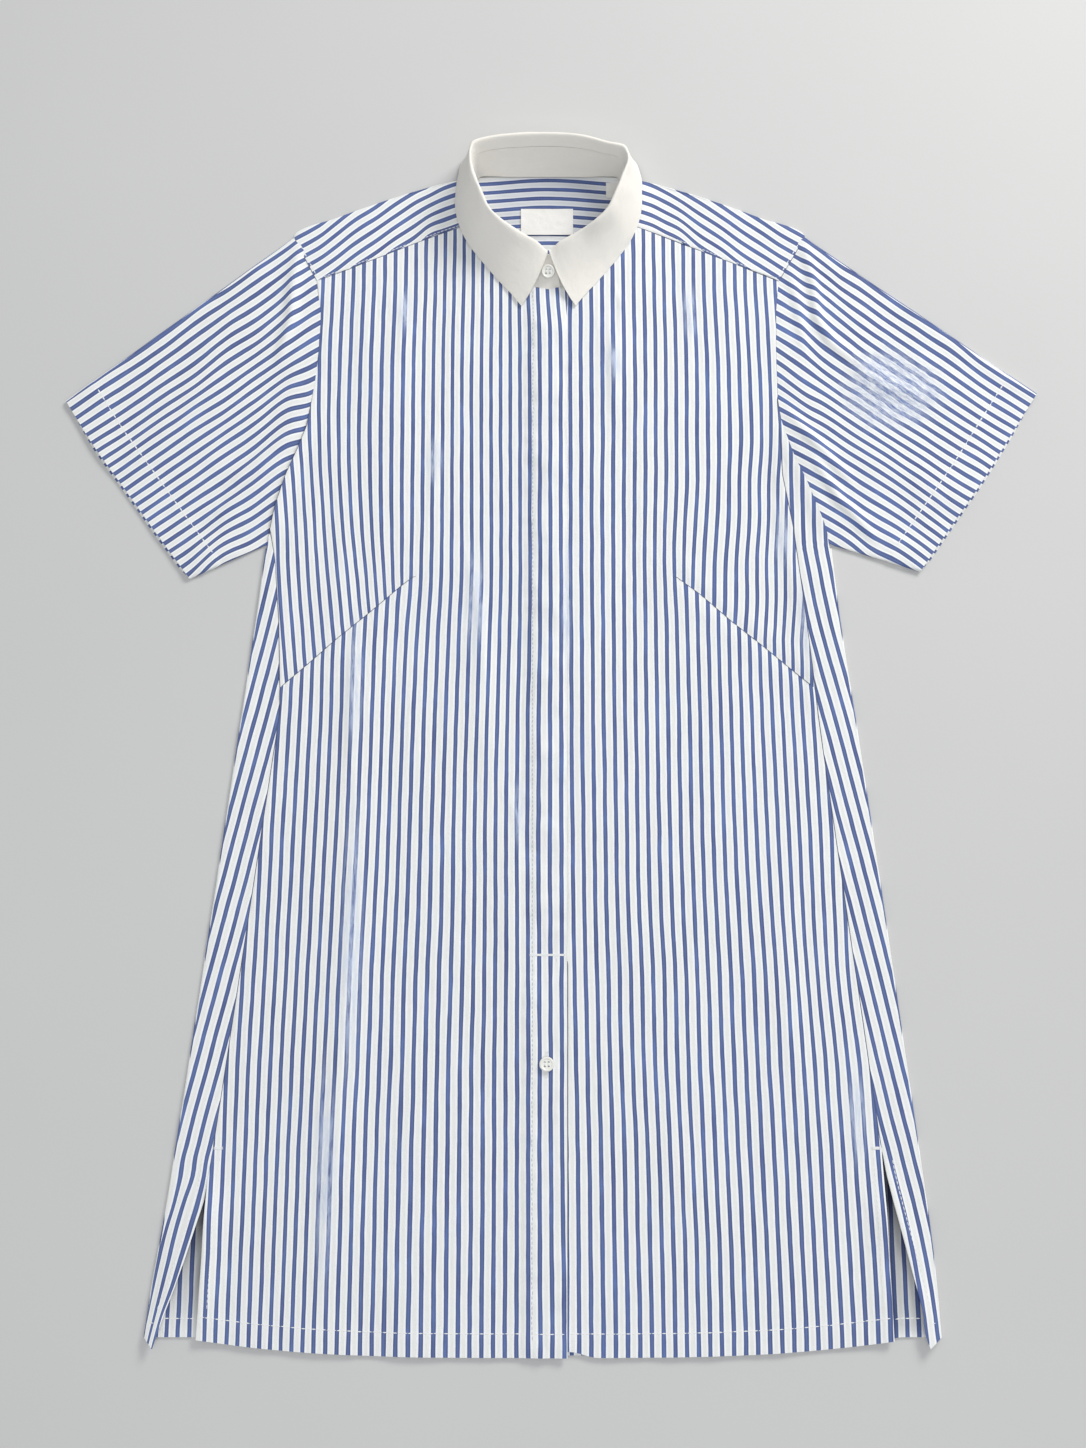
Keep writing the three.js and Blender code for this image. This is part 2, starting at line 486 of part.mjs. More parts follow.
// ----------------------------------------------------------------- collar
// Position q along the collar: -LAST at the wearer's right centre front, 0 at
// the centre back, LAST at the left centre front. The right end is lifted off
// the left one, so that it laps over it.
const LAP_LIFT = CLOTH + GAP + 0.1, LAP_FADE = 2.4;
const LAP = 0.6;              // how far, in collar sections, the ends lap
function collarFrame(q) {
  const s = q < 0 ? -1 : 1, g = LAST - Math.abs(q);
  const r = collarRow(g);
  const at = (x, y, z) => new THREE.Vector3(s * x, y, z);
  return { s, g, r, n: at(r.nx, r.ny, r.nz), f: at(r.fx, r.fy, r.fz), e: at(r.ex, r.ey, r.ez) };
}
// Unit vectors up the stand and out of its outer face.
function collarAxes(q) {
  const a = collarFrame(q - 0.05), b = collarFrame(q + 0.05), c = collarFrame(q);
  const along = b.n.clone().add(b.f).sub(a.n).sub(a.f);
  const up = c.f.clone().sub(c.n);
  return { up: up.clone().normalize(), out: along.cross(up).normalize().negate(), tall: up.length() };
}
const STATIONS = spread(44).map((t) => mix(-LAST, LAST, t));
const lapLift = (q) => (q < 0 ? LAP_LIFT * (1 - smooth((LAST + q) / LAP_FADE)) : 0);
{
  // Stand: the band that is sewn into the neck.
  const reach = LAST + LAP;
  const net = [-reach, ...STATIONS, reach].map((q) => {
    const c = collarFrame(q), m = collarAxes(q);
    const end = 1 - (c.r.roll + 0.6) / m.tall;
    return spread(3).map((k) => {
      const p = c.n.clone().lerp(c.f, k * end);
      p.addScaledVector(m.out, lapLift(q));
      return [p.x, p.y, p.z];
    });
  });
  addPiece('collar_stand', clothWall(net), white());
}
{
  // Fall: turns over the stand's top and lies on the fronts and the shoulders.
  const net = STATIONS.map((q) => {
    const c = collarFrame(q), m = collarAxes(q), lift = lapLift(q);
    const f = c.f.clone().addScaledVector(m.out, lift);
    const base = f.clone().addScaledVector(m.up, 0.3 - c.r.roll + 0.1);
    const crest = f.clone().addScaledVector(m.out, ROLL_R).addScaledVector(m.up, ROLL_R);
    const out = f.clone().addScaledVector(m.out, 2 * ROLL_R);
    const away = new THREE.Vector3(m.out.x, m.out.y, 0).normalize();
    const low = 0.22 + 0.67 * c.r.pull;
    const lay = new THREE.Vector3(mix(out.x, c.e.x, c.r.pull), mix(out.y, c.e.y, 0.6), mix(out.z, c.e.z, low))
      .addScaledVector(away, 4 * (c.r.pull - 0.2));
    const drop = new THREE.Vector3(out.x, out.y, c.e.z).addScaledVector(away, 5);
    const mid = lay.lerp(drop, clamp(c.r.hang, 0, 1));
    const leaf = [0.3, 0.6, 0.82, 1].map((k) => out.clone().multiplyScalar((1 - k) ** 2)
      .addScaledVector(mid, 2 * k * (1 - k)).addScaledVector(c.e, k * k));
    return [base, f, crest, out, ...leaf].map((p) => [p.x, p.y, p.z]);
  });
  addPiece('collar_fall', clothWall(net), white());
}

// ---------------------------------------------------------------- buttons
const wasm = await Module();
wasm.setup();
function solid(geometry) {
  let g = geometry.index ? geometry : geometry;
  g.deleteAttribute('normal');
  g.deleteAttribute('uv');
  g = mergeVertices(g, 1e-4);
  return new wasm.Manifold(new wasm.Mesh({
    numProp: 3,
    vertProperties: new Float32Array(g.attributes.position.array),
    triVerts: new Uint32Array(g.index.array),
  }));
}
function geometryOf(body) {
  const m = body.getMesh();
  const g = new THREE.BufferGeometry();
  g.setAttribute('position', new THREE.BufferAttribute(new Float32Array(m.vertProperties), 3));
  g.setIndex(Array.from(m.triVerts));
  g.computeVertexNormals();
  return g;
}
// Four-hole shirt button: flat back, raised round rim, dished middle.
function buttonGeometry() {
  const R = BUTTON_D / 2;
  const profile = [
    [0, 0], [R - 0.7, 0], [R - 0.1, 0.55], [R, 1.1], [R - 0.25, 1.75], [R - 0.8, BUTTON_H],
    [R - BUTTON_RIM, BUTTON_H - 0.15], [R - BUTTON_RIM - 0.5, 1.55], [1.6, 1.4], [0, 1.4],
  ].map(([x, y]) => new THREE.Vector2(x, y));
  const lathe = new THREE.LatheGeometry(profile, 36);
  lathe.rotateX(Math.PI / 2);
  let body = solid(lathe);
  for (const sx of [-1, 1]) for (const sy of [-1, 1]) {
    const drill = new THREE.CylinderGeometry(HOLE_D / 2, HOLE_D / 2, 8, 10);
    drill.rotateX(Math.PI / 2);
    drill.translate(sx * HOLE_STEP / 2, sy * HOLE_STEP / 2, 0.7);
    body = body.subtract(solid(drill));
  }
  return geometryOf(body);
}
{
  const g = buttonGeometry();
  g.translate(HEM_BUTTON.x, HEM_BUTTON.y, TOP + LOW + GAP + flyLift(HEM_BUTTON.x, HEM_BUTTON.y));
  addPiece('hem_button', g, shell());
}
{
  // The collar button lies on the slope of the stand's upper end.
  const c = collarFrame(-LAST), m = collarAxes(-LAST);
  const g = buttonGeometry();
  g.rotateX(Math.atan2(m.up.z, m.up.y));
  const p = c.n.clone().lerp(c.f, COLLAR_BUTTON_UP).addScaledVector(m.out, LAP_LIFT + 0.5 + LOW + GAP);
  g.translate(-0.4, p.y, p.z);
  addPiece('collar_button', g, shell());
}
for (let k = 0; k < FLY_COUNT; k++) {
  const g = new THREE.CylinderGeometry(FLY_D / 2, FLY_D / 2, FLY_H, 16);
  g.rotateX(Math.PI / 2);
  g.translate(FLY_X, FLY_FIRST + k * FLY_STEP, HIGH + LOW + GAP + FLY_H / 2);
  addPiece(`fly_button_${k + 1}`, g, shell());
}

// ---------------------------------------------------------- label and tab
for (const [name, b] of [['neck_label', LABEL], ['size_tab', TAB]]) {
  const g = new THREE.BoxGeometry(b.w, b.h, b.t);
  g.translate(b.x, b.y, CLOTH + GAP + b.t / 2);
  addPiece(name, g, white());
}

export default dress;
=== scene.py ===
# Shirt dress laid flat on its back: cloth, stitching, buttons, floor, light
# and camera. Tables and sizes are millimetres in the drawing frame, where x is
# counted from the centre front line (plus is the wearer's left), y from the
# middle of the front hem up to the neck and z up from the floor. SHIFT moves
# that frame to the row's frame, and mesh data is stored in metres.
import math

import bpy
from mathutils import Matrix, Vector
from mathutils.bvhtree import BVHTree
import numpy as np


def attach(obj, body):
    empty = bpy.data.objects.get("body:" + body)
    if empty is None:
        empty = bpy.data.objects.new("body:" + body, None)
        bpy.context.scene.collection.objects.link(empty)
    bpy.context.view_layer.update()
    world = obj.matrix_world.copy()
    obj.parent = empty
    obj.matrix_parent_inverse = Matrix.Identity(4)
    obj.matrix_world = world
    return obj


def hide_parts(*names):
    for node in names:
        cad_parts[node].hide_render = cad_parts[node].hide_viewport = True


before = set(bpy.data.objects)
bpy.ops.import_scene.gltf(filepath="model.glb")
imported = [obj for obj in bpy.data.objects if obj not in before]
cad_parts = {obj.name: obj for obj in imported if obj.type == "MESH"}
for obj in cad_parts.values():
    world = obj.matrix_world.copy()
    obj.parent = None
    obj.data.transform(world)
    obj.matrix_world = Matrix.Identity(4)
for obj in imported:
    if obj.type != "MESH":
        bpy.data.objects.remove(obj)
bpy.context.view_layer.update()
SHIFT = np.array([-2.39, -481.2, 0.0])

# ------------------------------------------------------------------- sizes
THIN = 0.5                     # the cloth as it shows
LOW, HIGH, TOP = 0.35, 1.75, 3.05   # its middle on the floor, above, placket
SEAM = 0.18
UNDER = 2.6                    # how far a seam allowance goes below the next piece
SLIT_TOP, UNDERARM = 146.0, 612.0
HEM_RISE, HEM_POWER, HEM_HALF, BACK_HEM_UP = 12.6, 3.3, 257.0, 1.5
BACK_YOKE_SEAM = 838.6
PLACKET_STITCH, PLACKET_RAMP = -15.1, -20.5
PLACKET_EDGE_TOP, PLACKET_EDGE_HEM, UNDER_EDGE = 15.2, 13.2, -12.6
NECK_GAP = 1.15
FLY_X, FLY_LIFT, FLY_SPREAD, FLY_DIP = -1.7, 2.15, 13.5, 0.42
FLY_FIRST, FLY_STEP, FLY_COUNT = 328.1, 58.7, 9
HEM_BUTTON = (-1.7, 208.6)
BUTTON_D, HOLE_STEP = 11.2, 2.9
HEM_STITCH = 16.5
SLEEVE_HEM = 27.0
ROLL_R = 1.35
PITCH = 8.5                    # of the stripes, where the cloth lies flat

SIDES = np.array([  # y, left fold, right fold
    (11.8, -295.8, 286.3), (54, -291.0, 284.2), (96, -284.6, 280.8), (182, -274.0, 271.7),
    (316, -258.4, 257.4), (455, -242.6, 242.0), (552, -231.6, 230.6), (612, -225.5, 225.5)])
SEAMS = np.array([  # y, left, right
    (11.8, -257.0, 251.0), (125, -253.0, 248.2), (146, -250.2, 247.4), (479, -210.2, 210.0),
    (552, -213.4, 203.2), (600, -217.9, 198.4), (625, -222.4, 195.6), (671, -222.4, 187.9),
    (736, -222.4, 185.6)])
WRAPS = np.array([  # y, left, right: the back's edge at the slits
    (7, -288.0, 276.6), (16.5, -285.3, 273.2), (31, -280.6, 272.5), (50.4, -273.4, 268.4),
    (69.9, -266.9, 263.7), (89.6, -261.1, 258.9), (109.3, -255.1, 254.3), (129.2, -252.1, 250.2), (146, -250.6, 247.8)])
STRIP = np.array([  # the left strip's stripes below the slit: y, then x of three
    (150, -271.5, -262.8, -254.3), (129, -273.3, -264.0, -255.7), (109, -277.1, -269.9, -259.5), (90, -282.0, -274.7, -264.4),
    (70, -286.2, -279.0, -269.8), (50, -289.9, -283.2, -275.6), (31, -293.2, -287.5, -282.4), (16, -295.2, -290.6, -286.2),
    (5, -296.6, -292.4, -288.4)])
ARMHOLES = np.array([  # y, left, right
    (600, -226.9, 227.4), (625, -222.8, 222.4), (645, -219.2, 215.2), (671, -211.4, 205.6),
    (692, -202.8, 195.0), (713, -195.6, 188.9), (736, -192.2, 186.1), (778, -187.6, 185.8),
    (812, -187.4, 186.7), (838.6, -190.8, 189.8), (877.6, -211.0, 212.6)])
SHOULDERS = np.array([  # fold x, fold y, seam x, seam y
    (211.8, 877.6, 190.0, 838.6), (182, 892.5, 163, 850.0), (152, 904.4, 138, 860.4),
    (122, 915.2, 113, 871.2), (92, 924.6, 88, 881.4), (64.2, 931.6, 64.15, 890.0)])
CUFFS = np.array([  # f, left x, left y, right x, right y
    (0.00, -392.0, 734.4, 396.8, 740.4), (0.25, -366.3, 694.4, 372.0, 702.2),
    (0.50, -338.6, 656.8, 347.6, 664.6), (0.75, -312.4, 621.0, 321.6, 627.8),
    (1.00, -285.6, 585.4, 295.8, 591.4)])
# Collar sections from the centre front to the centre back: neck seam, fold,
# free edge, how far below the fold the stand ends, how steeply the leaf hangs
# behind, and how far out its middle goes.
COLLAR_KEYS = ("nx", "ny", "nz", "fx", "fy", "fz", "ex", "ey", "ez", "roll", "hang", "pull")
COLLAR = np.array([
    (0, 832.0, 1.8, 0.6, 858.5, 12.0, 22.3, 816.0, 3.5, 1.6, 0, 0.42),
    (16, 833.7, 1.8, 9.5, 864.5, 16.0, 30.5, 826.6, 3.4, 4, 0, 0.52),
    (32, 839.0, 1.8, 23.0, 871.0, 20.0, 41.0, 838.5, 3.2, 6, 0, 0.6),
    (46, 848.0, 1.8, 37.0, 878.5, 25.5, 54.0, 854.5, 3.2, 8, 0, 0.72),
    (57, 861.0, 1.8, 47.5, 887.5, 29.5, 66.0, 871.0, 3.2, 9, 0, 0.72),
    (62, 875.0, 1.8, 53.0, 898.5, 32.0, 73.5, 887.0, 3.2, 10, 0, 0.6),
    (63, 890.0, 1.8, 57.5, 909.5, 33.0, 77.0, 902.0, 3.2, 10, 0, 0.6),
    (62.8, 906.0, 1.8, 61.5, 921.0, 33.0, 77.5, 916.0, 3.2, 10, 0.1, 0.6),
    (62.0, 921.0, 1.8, 64.5, 932.0, 32.0, 78.0, 931.0, 3.4, 10, 0.3, 0.6),
    (58.5, 931.5, 1.9, 64.0, 942.0, 30.5, 74.0, 945.0, 1.2, 10, 0.7, 0.6),
    (48.0, 933.8, 1.0, 58.0, 949.5, 29.0, 62.0, 953.5, 0.55, 10, 1, 0.6),
    (33.0, 933.2, 0.5, 40.0, 955.0, 27.0, 42.0, 955.5, 0.55, 10, 1, 0.6),
    (16.0, 933.2, 0.5, 20.0, 957.5, 25.5, 20.5, 954.5, 0.55, 10, 1, 0.6),
    (0, 933.2, 0.5, 0, 958.5, 25.0, 0, 954.0, 0.55, 10, 1, 0.6)])
LAST = len(COLLAR) - 1
# Soft ridges pressed up in the fronts: from, to, width, height.
PRESSED = [   # narrow pressed creases: points, width, height
    ([(-122, 832), (-119, 800), (-121, 770)], 3.6, 0.9), ([(112, 832), (117, 800), (115, 762)], 3.6, 1.0),
    ([(54, 800), (52, 760), (55, 720)], 3.4, 0.9), ([(-92, 712), (-90, 680), (-94, 640)], 3.6, 0.9),
    ([(-64, 604), (-55, 560), (-50, 500)], 4.4, 1.2), ([(-152, 560), (-155, 470), (-150, 400)], 4.0, 1.0),
    ([(-150, 400), (-153, 280), (-160, 150)], 4.2, 1.1), ([(-160, 150), (-166, 90), (-168, 30)], 4.6, 1.1),
    ([(180, 650), (190, 610), (196, 560)], 4.0, 1.1), ([(198, 590), (207, 540), (206, 480)], 4.0, 1.0),
    ([(228, 420), (236, 340), (240, 240)], 4.6, 1.0), ([(-34, 420), (-24, 390), (-22, 340)], 3.2, 0.9),
    ([(52, 836), (60, 818), (58, 796)], 3.0, 1.0)]
CREASES = np.array([
    (-122, 806, -118, 690, 13, 1.6), (54, 812, 56, 720, 13, 1.8), (-62, 590, -50, 440, 12, 1.8),
    (-152, 520, -158, 60, 17, 2.4), (196, 640, 214, 470, 14, 2.2), (-30, 380, -26, 250, 11, 1.4),
    (176, 300, 186, 180, 15, 1.5)])

# Where the stripes run. Each row is a line across a panel, and its columns are
# the places of every sixth stripe (every fourth on the sleeves) on that line.
FRONT_ABOVE = {   # above the bust darts: y, then x of stripes -3, 0, 6, 12, 18, 24
    "left": np.array([
        (834, -6.9, 16.9, 61.8, 109.3, 160.9, 210), (815, -7.8, 16.3, 62.0, 109.5, 161.1, 210.3),
        (796, -9.3, 15.7, 62.3, 109.8, 161.5, 211), (770, -9.7, 15.4, 62.6, 110.0, 161.8, 211.5),
        (700, -9.8, 15.2, 62.1, 109.8, 161.6, 208), (634, -9.8, 14.8, 61.6, 109.3, 157.8, 202.5),
        (587, -9.8, 14.6, 61.2, 109.0, 152.4, 199.0), (535, -9.8, 14.6, 61.0, 108.0, 146.5, 193.6),
        (500, -9.8, 14.8, 61.0, 108.0, 143.0, 190.0)]),
    "right": np.array([
        (830, -7, 17.8, 70.0, 119.7, 170.5, 218), (770, -7, 17.6, 70.3, 120.9, 171.9, 219),
        (701, -7, 17.9, 69.6, 120.2, 172.2, 214), (667, -7, 17.6, 69.2, 119.8, 169.5, 213),
        (634, -7, 17.4, 68.8, 117.7, 168.8, 210), (601, -7, 17.3, 68.5, 115.3, 166.0, 209.5),
        (568, -7, 17.3, 68.3, 114.0, 165.3, 209.0), (535, -7, 17.3, 68.2, 113.0, 163.0, 206.0)])}
FRONT_BELOW = {
    "left": np.array([
        (587, -9.8, 14.6, 61.2, 110.0, 160.0, 207.0), (535, -9.8, 15.2, 62.6, 112.6, 161.8, 208.5),
        (471, -9.7, 16.2, 64.2, 114.1, 162.3, 210.8), (393, -9.7, 16.6, 65.4, 115.3, 163.5, 213.3),
        (331, -9.7, 16.2, 65.3, 116.6, 165.5, 214.3), (271, -9.7, 15.7, 65.9, 118.4, 167.0, 216.0),
        (212, -9.8, 15.5, 66.8, 118.9, 168.5, 217.5), (146, -9.8, 15.5, 66.6, 120.2, 170.0, 218.1),
        (26, -11.0, 15.1, 66.7, 120.5, 171.3, 219.0)]),
    "right": np.array([
        (587, -7, 17.4, 68.2, 117.5, 166.5, 211), (535, -7, 17.9, 68.0, 118.0, 166.2, 211),
        (471, -7, 17.7, 68.2, 118.3, 166.9, 214.5), (393, -7, 18.3, 68.6, 118.2, 168.4, 217.4),
        (331, -7, 18.7, 69.0, 119.3, 170.0, 218.0), (271, -6, 19.4, 70.8, 121.0, 172.4, 219.5),
        (212, -5, 20.4, 71.2, 121.8, 174.0, 224.5), (146, -4, 21.4, 73.3, 123.6, 176.0, 227.3),
        (75, -4, 21.7, 74.4, 125.5, 177.7, 229.8), (26, -4, 21.7, 75.0, 125.8, 178.6, 231.0)])}
DARTS = {   # distance from the centre, then y, from the point to the side seam
    "left": np.array([(107.4, 587.1), (118.5, 578.2), (143.3, 556.3), (169, 534.6), (192.6, 513), (212, 496)]),
    "right": np.array([(101.1, 586.8), (120, 572.5), (143.2, 551.5), (174.7, 525.4), (208.1, 496.1), (212, 493)])}
SLEEVES = {   # distance from the centre, then y of stripes 1, 5, 9, 13, 17, 21
    "left": np.array([
        (176, 885.5, 843, 798, 752, 713, 671), (195, 873, 830.8, 786, 741, 702, 660), (214, 857.8, 816.1, 772.6, 734.9, 694, 652),
        (238, 839.1, 795.0, 754.6, 715.0, 673.8, 634.5), (262, 821.0, 778.7, 735.3, 697.5, 655.5, 620.3),
        (286, 804.2, 757.6, 719.1, 679.2, 638.7, 598.9), (310, 784.4, 740.7, 701.4, 661.5, 621.5, 582),
        (333, 766.6, 723.7, 684.3, 644.5, 604.5, 565), (357, 749.5, 706.2, 666.5, 627, 587, 547),
        (392, 723.5, 681.0, 641, 601, 561, 521), (430, 695.5, 653, 613, 573, 533, 493)]),
    "right": np.array([
        (172, 892.5, 854.5, 809.5, 768.5, 727.5, 687.5), (190, 880, 841.5, 797.5, 755, 716, 676), (208, 867.5, 827.6, 785.4, 740.1, 705.3, 665),
        (224, 856.1, 816.8, 770, 731.1, 694.3, 655), (241, 841.5, 802.0, 757, 719, 682, 643),
        (257, 830.7, 788, 745.5, 707.5, 671.0, 630.5), (281, 811.7, 770.3, 728, 690.6, 654.3, 616),
        (305, 794.1, 752.1, 712.0, 673.2, 635.3, 597.4), (328, 777.8, 735.0, 695.7, 656.1, 617, 579),
        (352, 757.4, 718.0, 680.0, 641, 602, 563), (376, 740.5, 702, 662, 623, 584, 545),
        (398, 725, 686, 647, 608, 569, 530),
        (436, 698.5, 659.5, 620.5, 581.5, 542.5, 503.5)])}
YOKES = {   # distance from the centre, then y of stripes -2, 1, 4
    "left": np.array([
        (64, 957, 929, 902), (86, 950, 921.7, 893.2), (99, 941.5, 914.6, 887.5), (111, 936, 908.0, 877.2),
        (128, 927, 895.6, 865.5), (144, 914, 883.3, 852), (161, 902.6, 871.0, 839.6),
        (177, 888.7, 857.2, 826), (189, 878.2, 848.1, 818), (212, 864, 834, 804)]),
    "right": np.array([
        (64, 958, 930.5, 904), (85, 951, 924.1, 897.4), (97, 944.5, 918.0, 891.0), (110, 936, 909.8, 883.7),
        (126, 928, 898.1, 868.9), (143, 915.8, 885.9, 857), (159, 903.8, 873.2, 843),
        (176, 892, 861.2, 831), (192, 879.7, 850.0, 821), (212, 867, 837.5, 809)])}


# ------------------------------------------------------------ small tools
def clamp(v, a=0.0, b=1.0):
    return np.minimum(b, np.maximum(a, v))


def smooth(t):
    c = clamp(t)
    return c * c * (3 - 2 * c)


def mix(a, b, t):
    return a + (b - a) * t


def side(s):
    return "left" if s < 0 else "right"


def read(xs, ys, v):
    """Smooth curve through the points xs, ys, level past both ends."""
    v = np.asarray(v, float)
    n = len(xs)
    i = clamp(np.searchsorted(xs, v, side="right") - 1, 0, n - 2).astype(int)
    slope = np.array([(ys[min(n - 1, k + 1)] - ys[max(0, k - 1)]) / (xs[min(n - 1, k + 1)] - xs[max(0, k - 1)])
                      for k in range(n)])
    h = xs[i + 1] - xs[i]
    t = clamp((v - xs[i]) / h)
    t2, t3 = t * t, t * t * t
    return ((2 * t3 - 3 * t2 + 1) * ys[i] + (t3 - 2 * t2 + t) * h * slope[i]
            + (3 * t2 - 2 * t3) * ys[i + 1] + (t3 - t2) * h * slope[i + 1])


def fold_x(s, y):
    return read(SIDES[:, 0], SIDES[:, 1 if s < 0 else 2], y)


def seam_x(s, y):
    return np.interp(y, SEAMS[:, 0], SEAMS[:, 1 if s < 0 else 2])


def wrap_x(s, y):
    return np.interp(y, WRAPS[:, 0], WRAPS[:, 1 if s < 0 else 2])


def arm_x(s, y):
    return np.interp(y, ARMHOLES[:, 0], ARMHOLES[:, 1 if s < 0 else 2])


def hem_y(x):
    return HEM_RISE * np.minimum(1, np.abs(x) / HEM_HALF) ** HEM_POWER


def flow(lines, marks, at, across):
    """Number of the stripe at a place: lines has the stripes marks on rows at
    given places, with their positions rising along a row."""
    lines = lines[np.argsort(lines[:, 0])]
    cols = [read(lines[:, 0], lines[:, 1 + c], at) for c in range(len(marks))]
    n = len(marks)
    slope = []
    for c in range(n):
        a, b = max(0, c - 1), min(n - 1, c + 1)
        slope.append((marks[b] - marks[a]) / (cols[b] - cols[a]))
    out = marks[0] + (across - cols[0]) * slope[0]
    for c in range(n - 1):
        h = cols[c + 1] - cols[c]
        t = clamp((across - cols[c]) / h)
        t2, t3 = t * t, t * t * t
        v = ((2 * t3 - 3 * t2 + 1) * marks[c] + (t3 - 2 * t2 + t) * h * slope[c]
             + (3 * t2 - 2 * t3) * marks[c + 1] + (t3 - t2) * h * slope[c + 1])
        out = np.where(across >= cols[c], v, out)
    return np.where(across >= cols[-1], marks[-1] + (across - cols[-1]) * slope[-1], out)


def front_flow(tables, s, x, y):
    return flow(tables[side(s)], np.array([-3, 0, 6, 12, 18, 24.0]), y, s * x)


def down_flow(lines, marks, x, y):
    turned = lines.copy()
    turned[:, 1:] *= -1
    return flow(turned, np.array(marks, float), np.abs(x), -y)


def noise(x, y, seed):
    """Smooth seeded noise from -1 to 1, on a grid of one unit."""
    grid = np.random.RandomState(seed).rand(97, 89) * 2 - 1
    xi, yi = np.floor(x).astype(int), np.floor(y).astype(int)
    u, v = smooth(x - xi), smooth(y - yi)
    g = lambda a, b: grid[(xi + a) % 97, (yi + b) % 89]
    return mix(mix(g(0, 0), g(1, 0), u), mix(g(0, 1), g(1, 1), u), v)


def ridge(x, y, x0, y0, x1, y1, wide, high):
    dx, dy = x1 - x0, y1 - y0
    t = clamp(((x - x0) * dx + (y - y0) * dy) / (dx * dx + dy * dy))
    d = np.hypot(x - x0 - t * dx, y - y0 - t * dy)
    return high * np.sqrt(np.sin(np.pi * clamp(t, 0.02, 0.98))) * np.exp(-(d / wide) ** 2)


def path_ridge(x, y, points, wide, high):
    """A ridge along a bent line, highest at its middle."""
    pts = np.array(points, float)
    seg = np.hypot(*(pts[1:] - pts[:-1]).T)
    run = np.concatenate([[0], np.cumsum(seg)])
    best = np.full(np.shape(x), 1e9)
    place = np.zeros(np.shape(x))
    for k in range(len(seg)):
        a, b = pts[k], pts[k + 1]
        t = clamp(((x - a[0]) * (b - a)[0] + (y - a[1]) * (b - a)[1]) / seg[k] ** 2)
        d = np.hypot(x - a[0] - t * (b - a)[0], y - a[1] - t * (b - a)[1])
        nearer = d < best
        best = np.where(nearer, d, best)
        place = np.where(nearer, (run[k] + t * seg[k]) / run[-1], place)
    return high * np.sqrt(np.sin(np.pi * clamp(place, 0.02, 0.98))) * np.exp(-(best / wide) ** 2)


def path_distance(x, y, pts):
    best = np.full(np.shape(x), 1e9)
    for a, b in zip(pts[:-1], pts[1:]):
        l2 = (b[0] - a[0]) ** 2 + (b[1] - a[1]) ** 2
        t = clamp(((x - a[0]) * (b[0] - a[0]) + (y - a[1]) * (b[1] - a[1])) / l2)
        best = np.minimum(best, np.hypot(x - a[0] - t * (b[0] - a[0]), y - a[1] - t * (b[1] - a[1])))
    return best


def bump_at(v, place, wide):
    return np.exp(-((v - place) / wide) ** 2)


def crease_lift(x, y):
    return sum(ridge(x, y, *row) for row in CREASES) + sum(path_ridge(x, y, *row) for row in PRESSED)


def fly_lift(x, y):
    last = FLY_FIRST + (FLY_COUNT - 1) * FLY_STEP
    across = FLY_LIFT / (1 + ((x - 0.3) / FLY_SPREAD) ** 4)
    k = (y - FLY_FIRST) / FLY_STEP
    off = 0.5 + 0.5 * np.cos(2 * np.pi * k)
    between = 1 - FLY_DIP * (1 - off)
    out = np.where(y < FLY_FIRST, smooth((y - FLY_FIRST + 40) / 40), between)
    return across * np.where(y > last, 1 - 0.75 * smooth((y - last) / 30), out)


def waves(x, y):
    """The cloth's loose waves, alike on everything that lies on the back."""
    calm = 1 - 0.6 * np.exp(-(x / 22) ** 2)
    z = (0.55 * noise(x / 34, y / 150, 3) + 0.36 * noise(x / 15 + 7, y / 80, 4)
         + 0.30 * noise(x / 55, y / 42, 5) + 0.14 * noise(x / 8, y / 30, 6))
    return calm * z


# --------------------------------------------------------------- mesh making
def spacing(length, step, fine=(0, 0.3, 0.8, 1.6)):
    """Places from 0 to 1 along a length, close together at both ends."""
    edge = [v / length for v in fine]
    n = max(2, int(round((1 - 2 * edge[-1]) * length / step)))
    mid = np.linspace(edge[-1], 1 - edge[-1], n + 1)
    return np.array(edge[:-1] + list(mid) + [1 - v for v in reversed(edge[:-1])])


def build(name, verts, quads, maps, sharp=52):
    """A mesh from points in millimetres, with a UV map for each entry of maps."""
    me = bpy.data.meshes.new(name)
    co = (verts + SHIFT) / 1000.0
    me.vertices.add(len(co))
    me.vertices.foreach_set("co", co.astype(np.float32).ravel())
    me.loops.add(len(quads) * 4)
    me.loops.foreach_set("vertex_index", quads.astype(np.int32).ravel())
    me.polygons.add(len(quads))
    me.polygons.foreach_set("loop_start", (np.arange(len(quads)) * 4).astype(np.int32))
    me.update(calc_edges=True)
    for key, uv in maps.items():
        layer = me.uv_layers.new(name=key)
        layer.data.foreach_set("uv", uv[quads.ravel()].astype(np.float32).ravel())
    me.validate()
    me.shade_smooth()
    me.set_sharp_from_angle(angle=math.radians(sharp))
    obj = bpy.data.objects.new(name, me)
    bpy.context.scene.collection.objects.link(obj)
    return obj


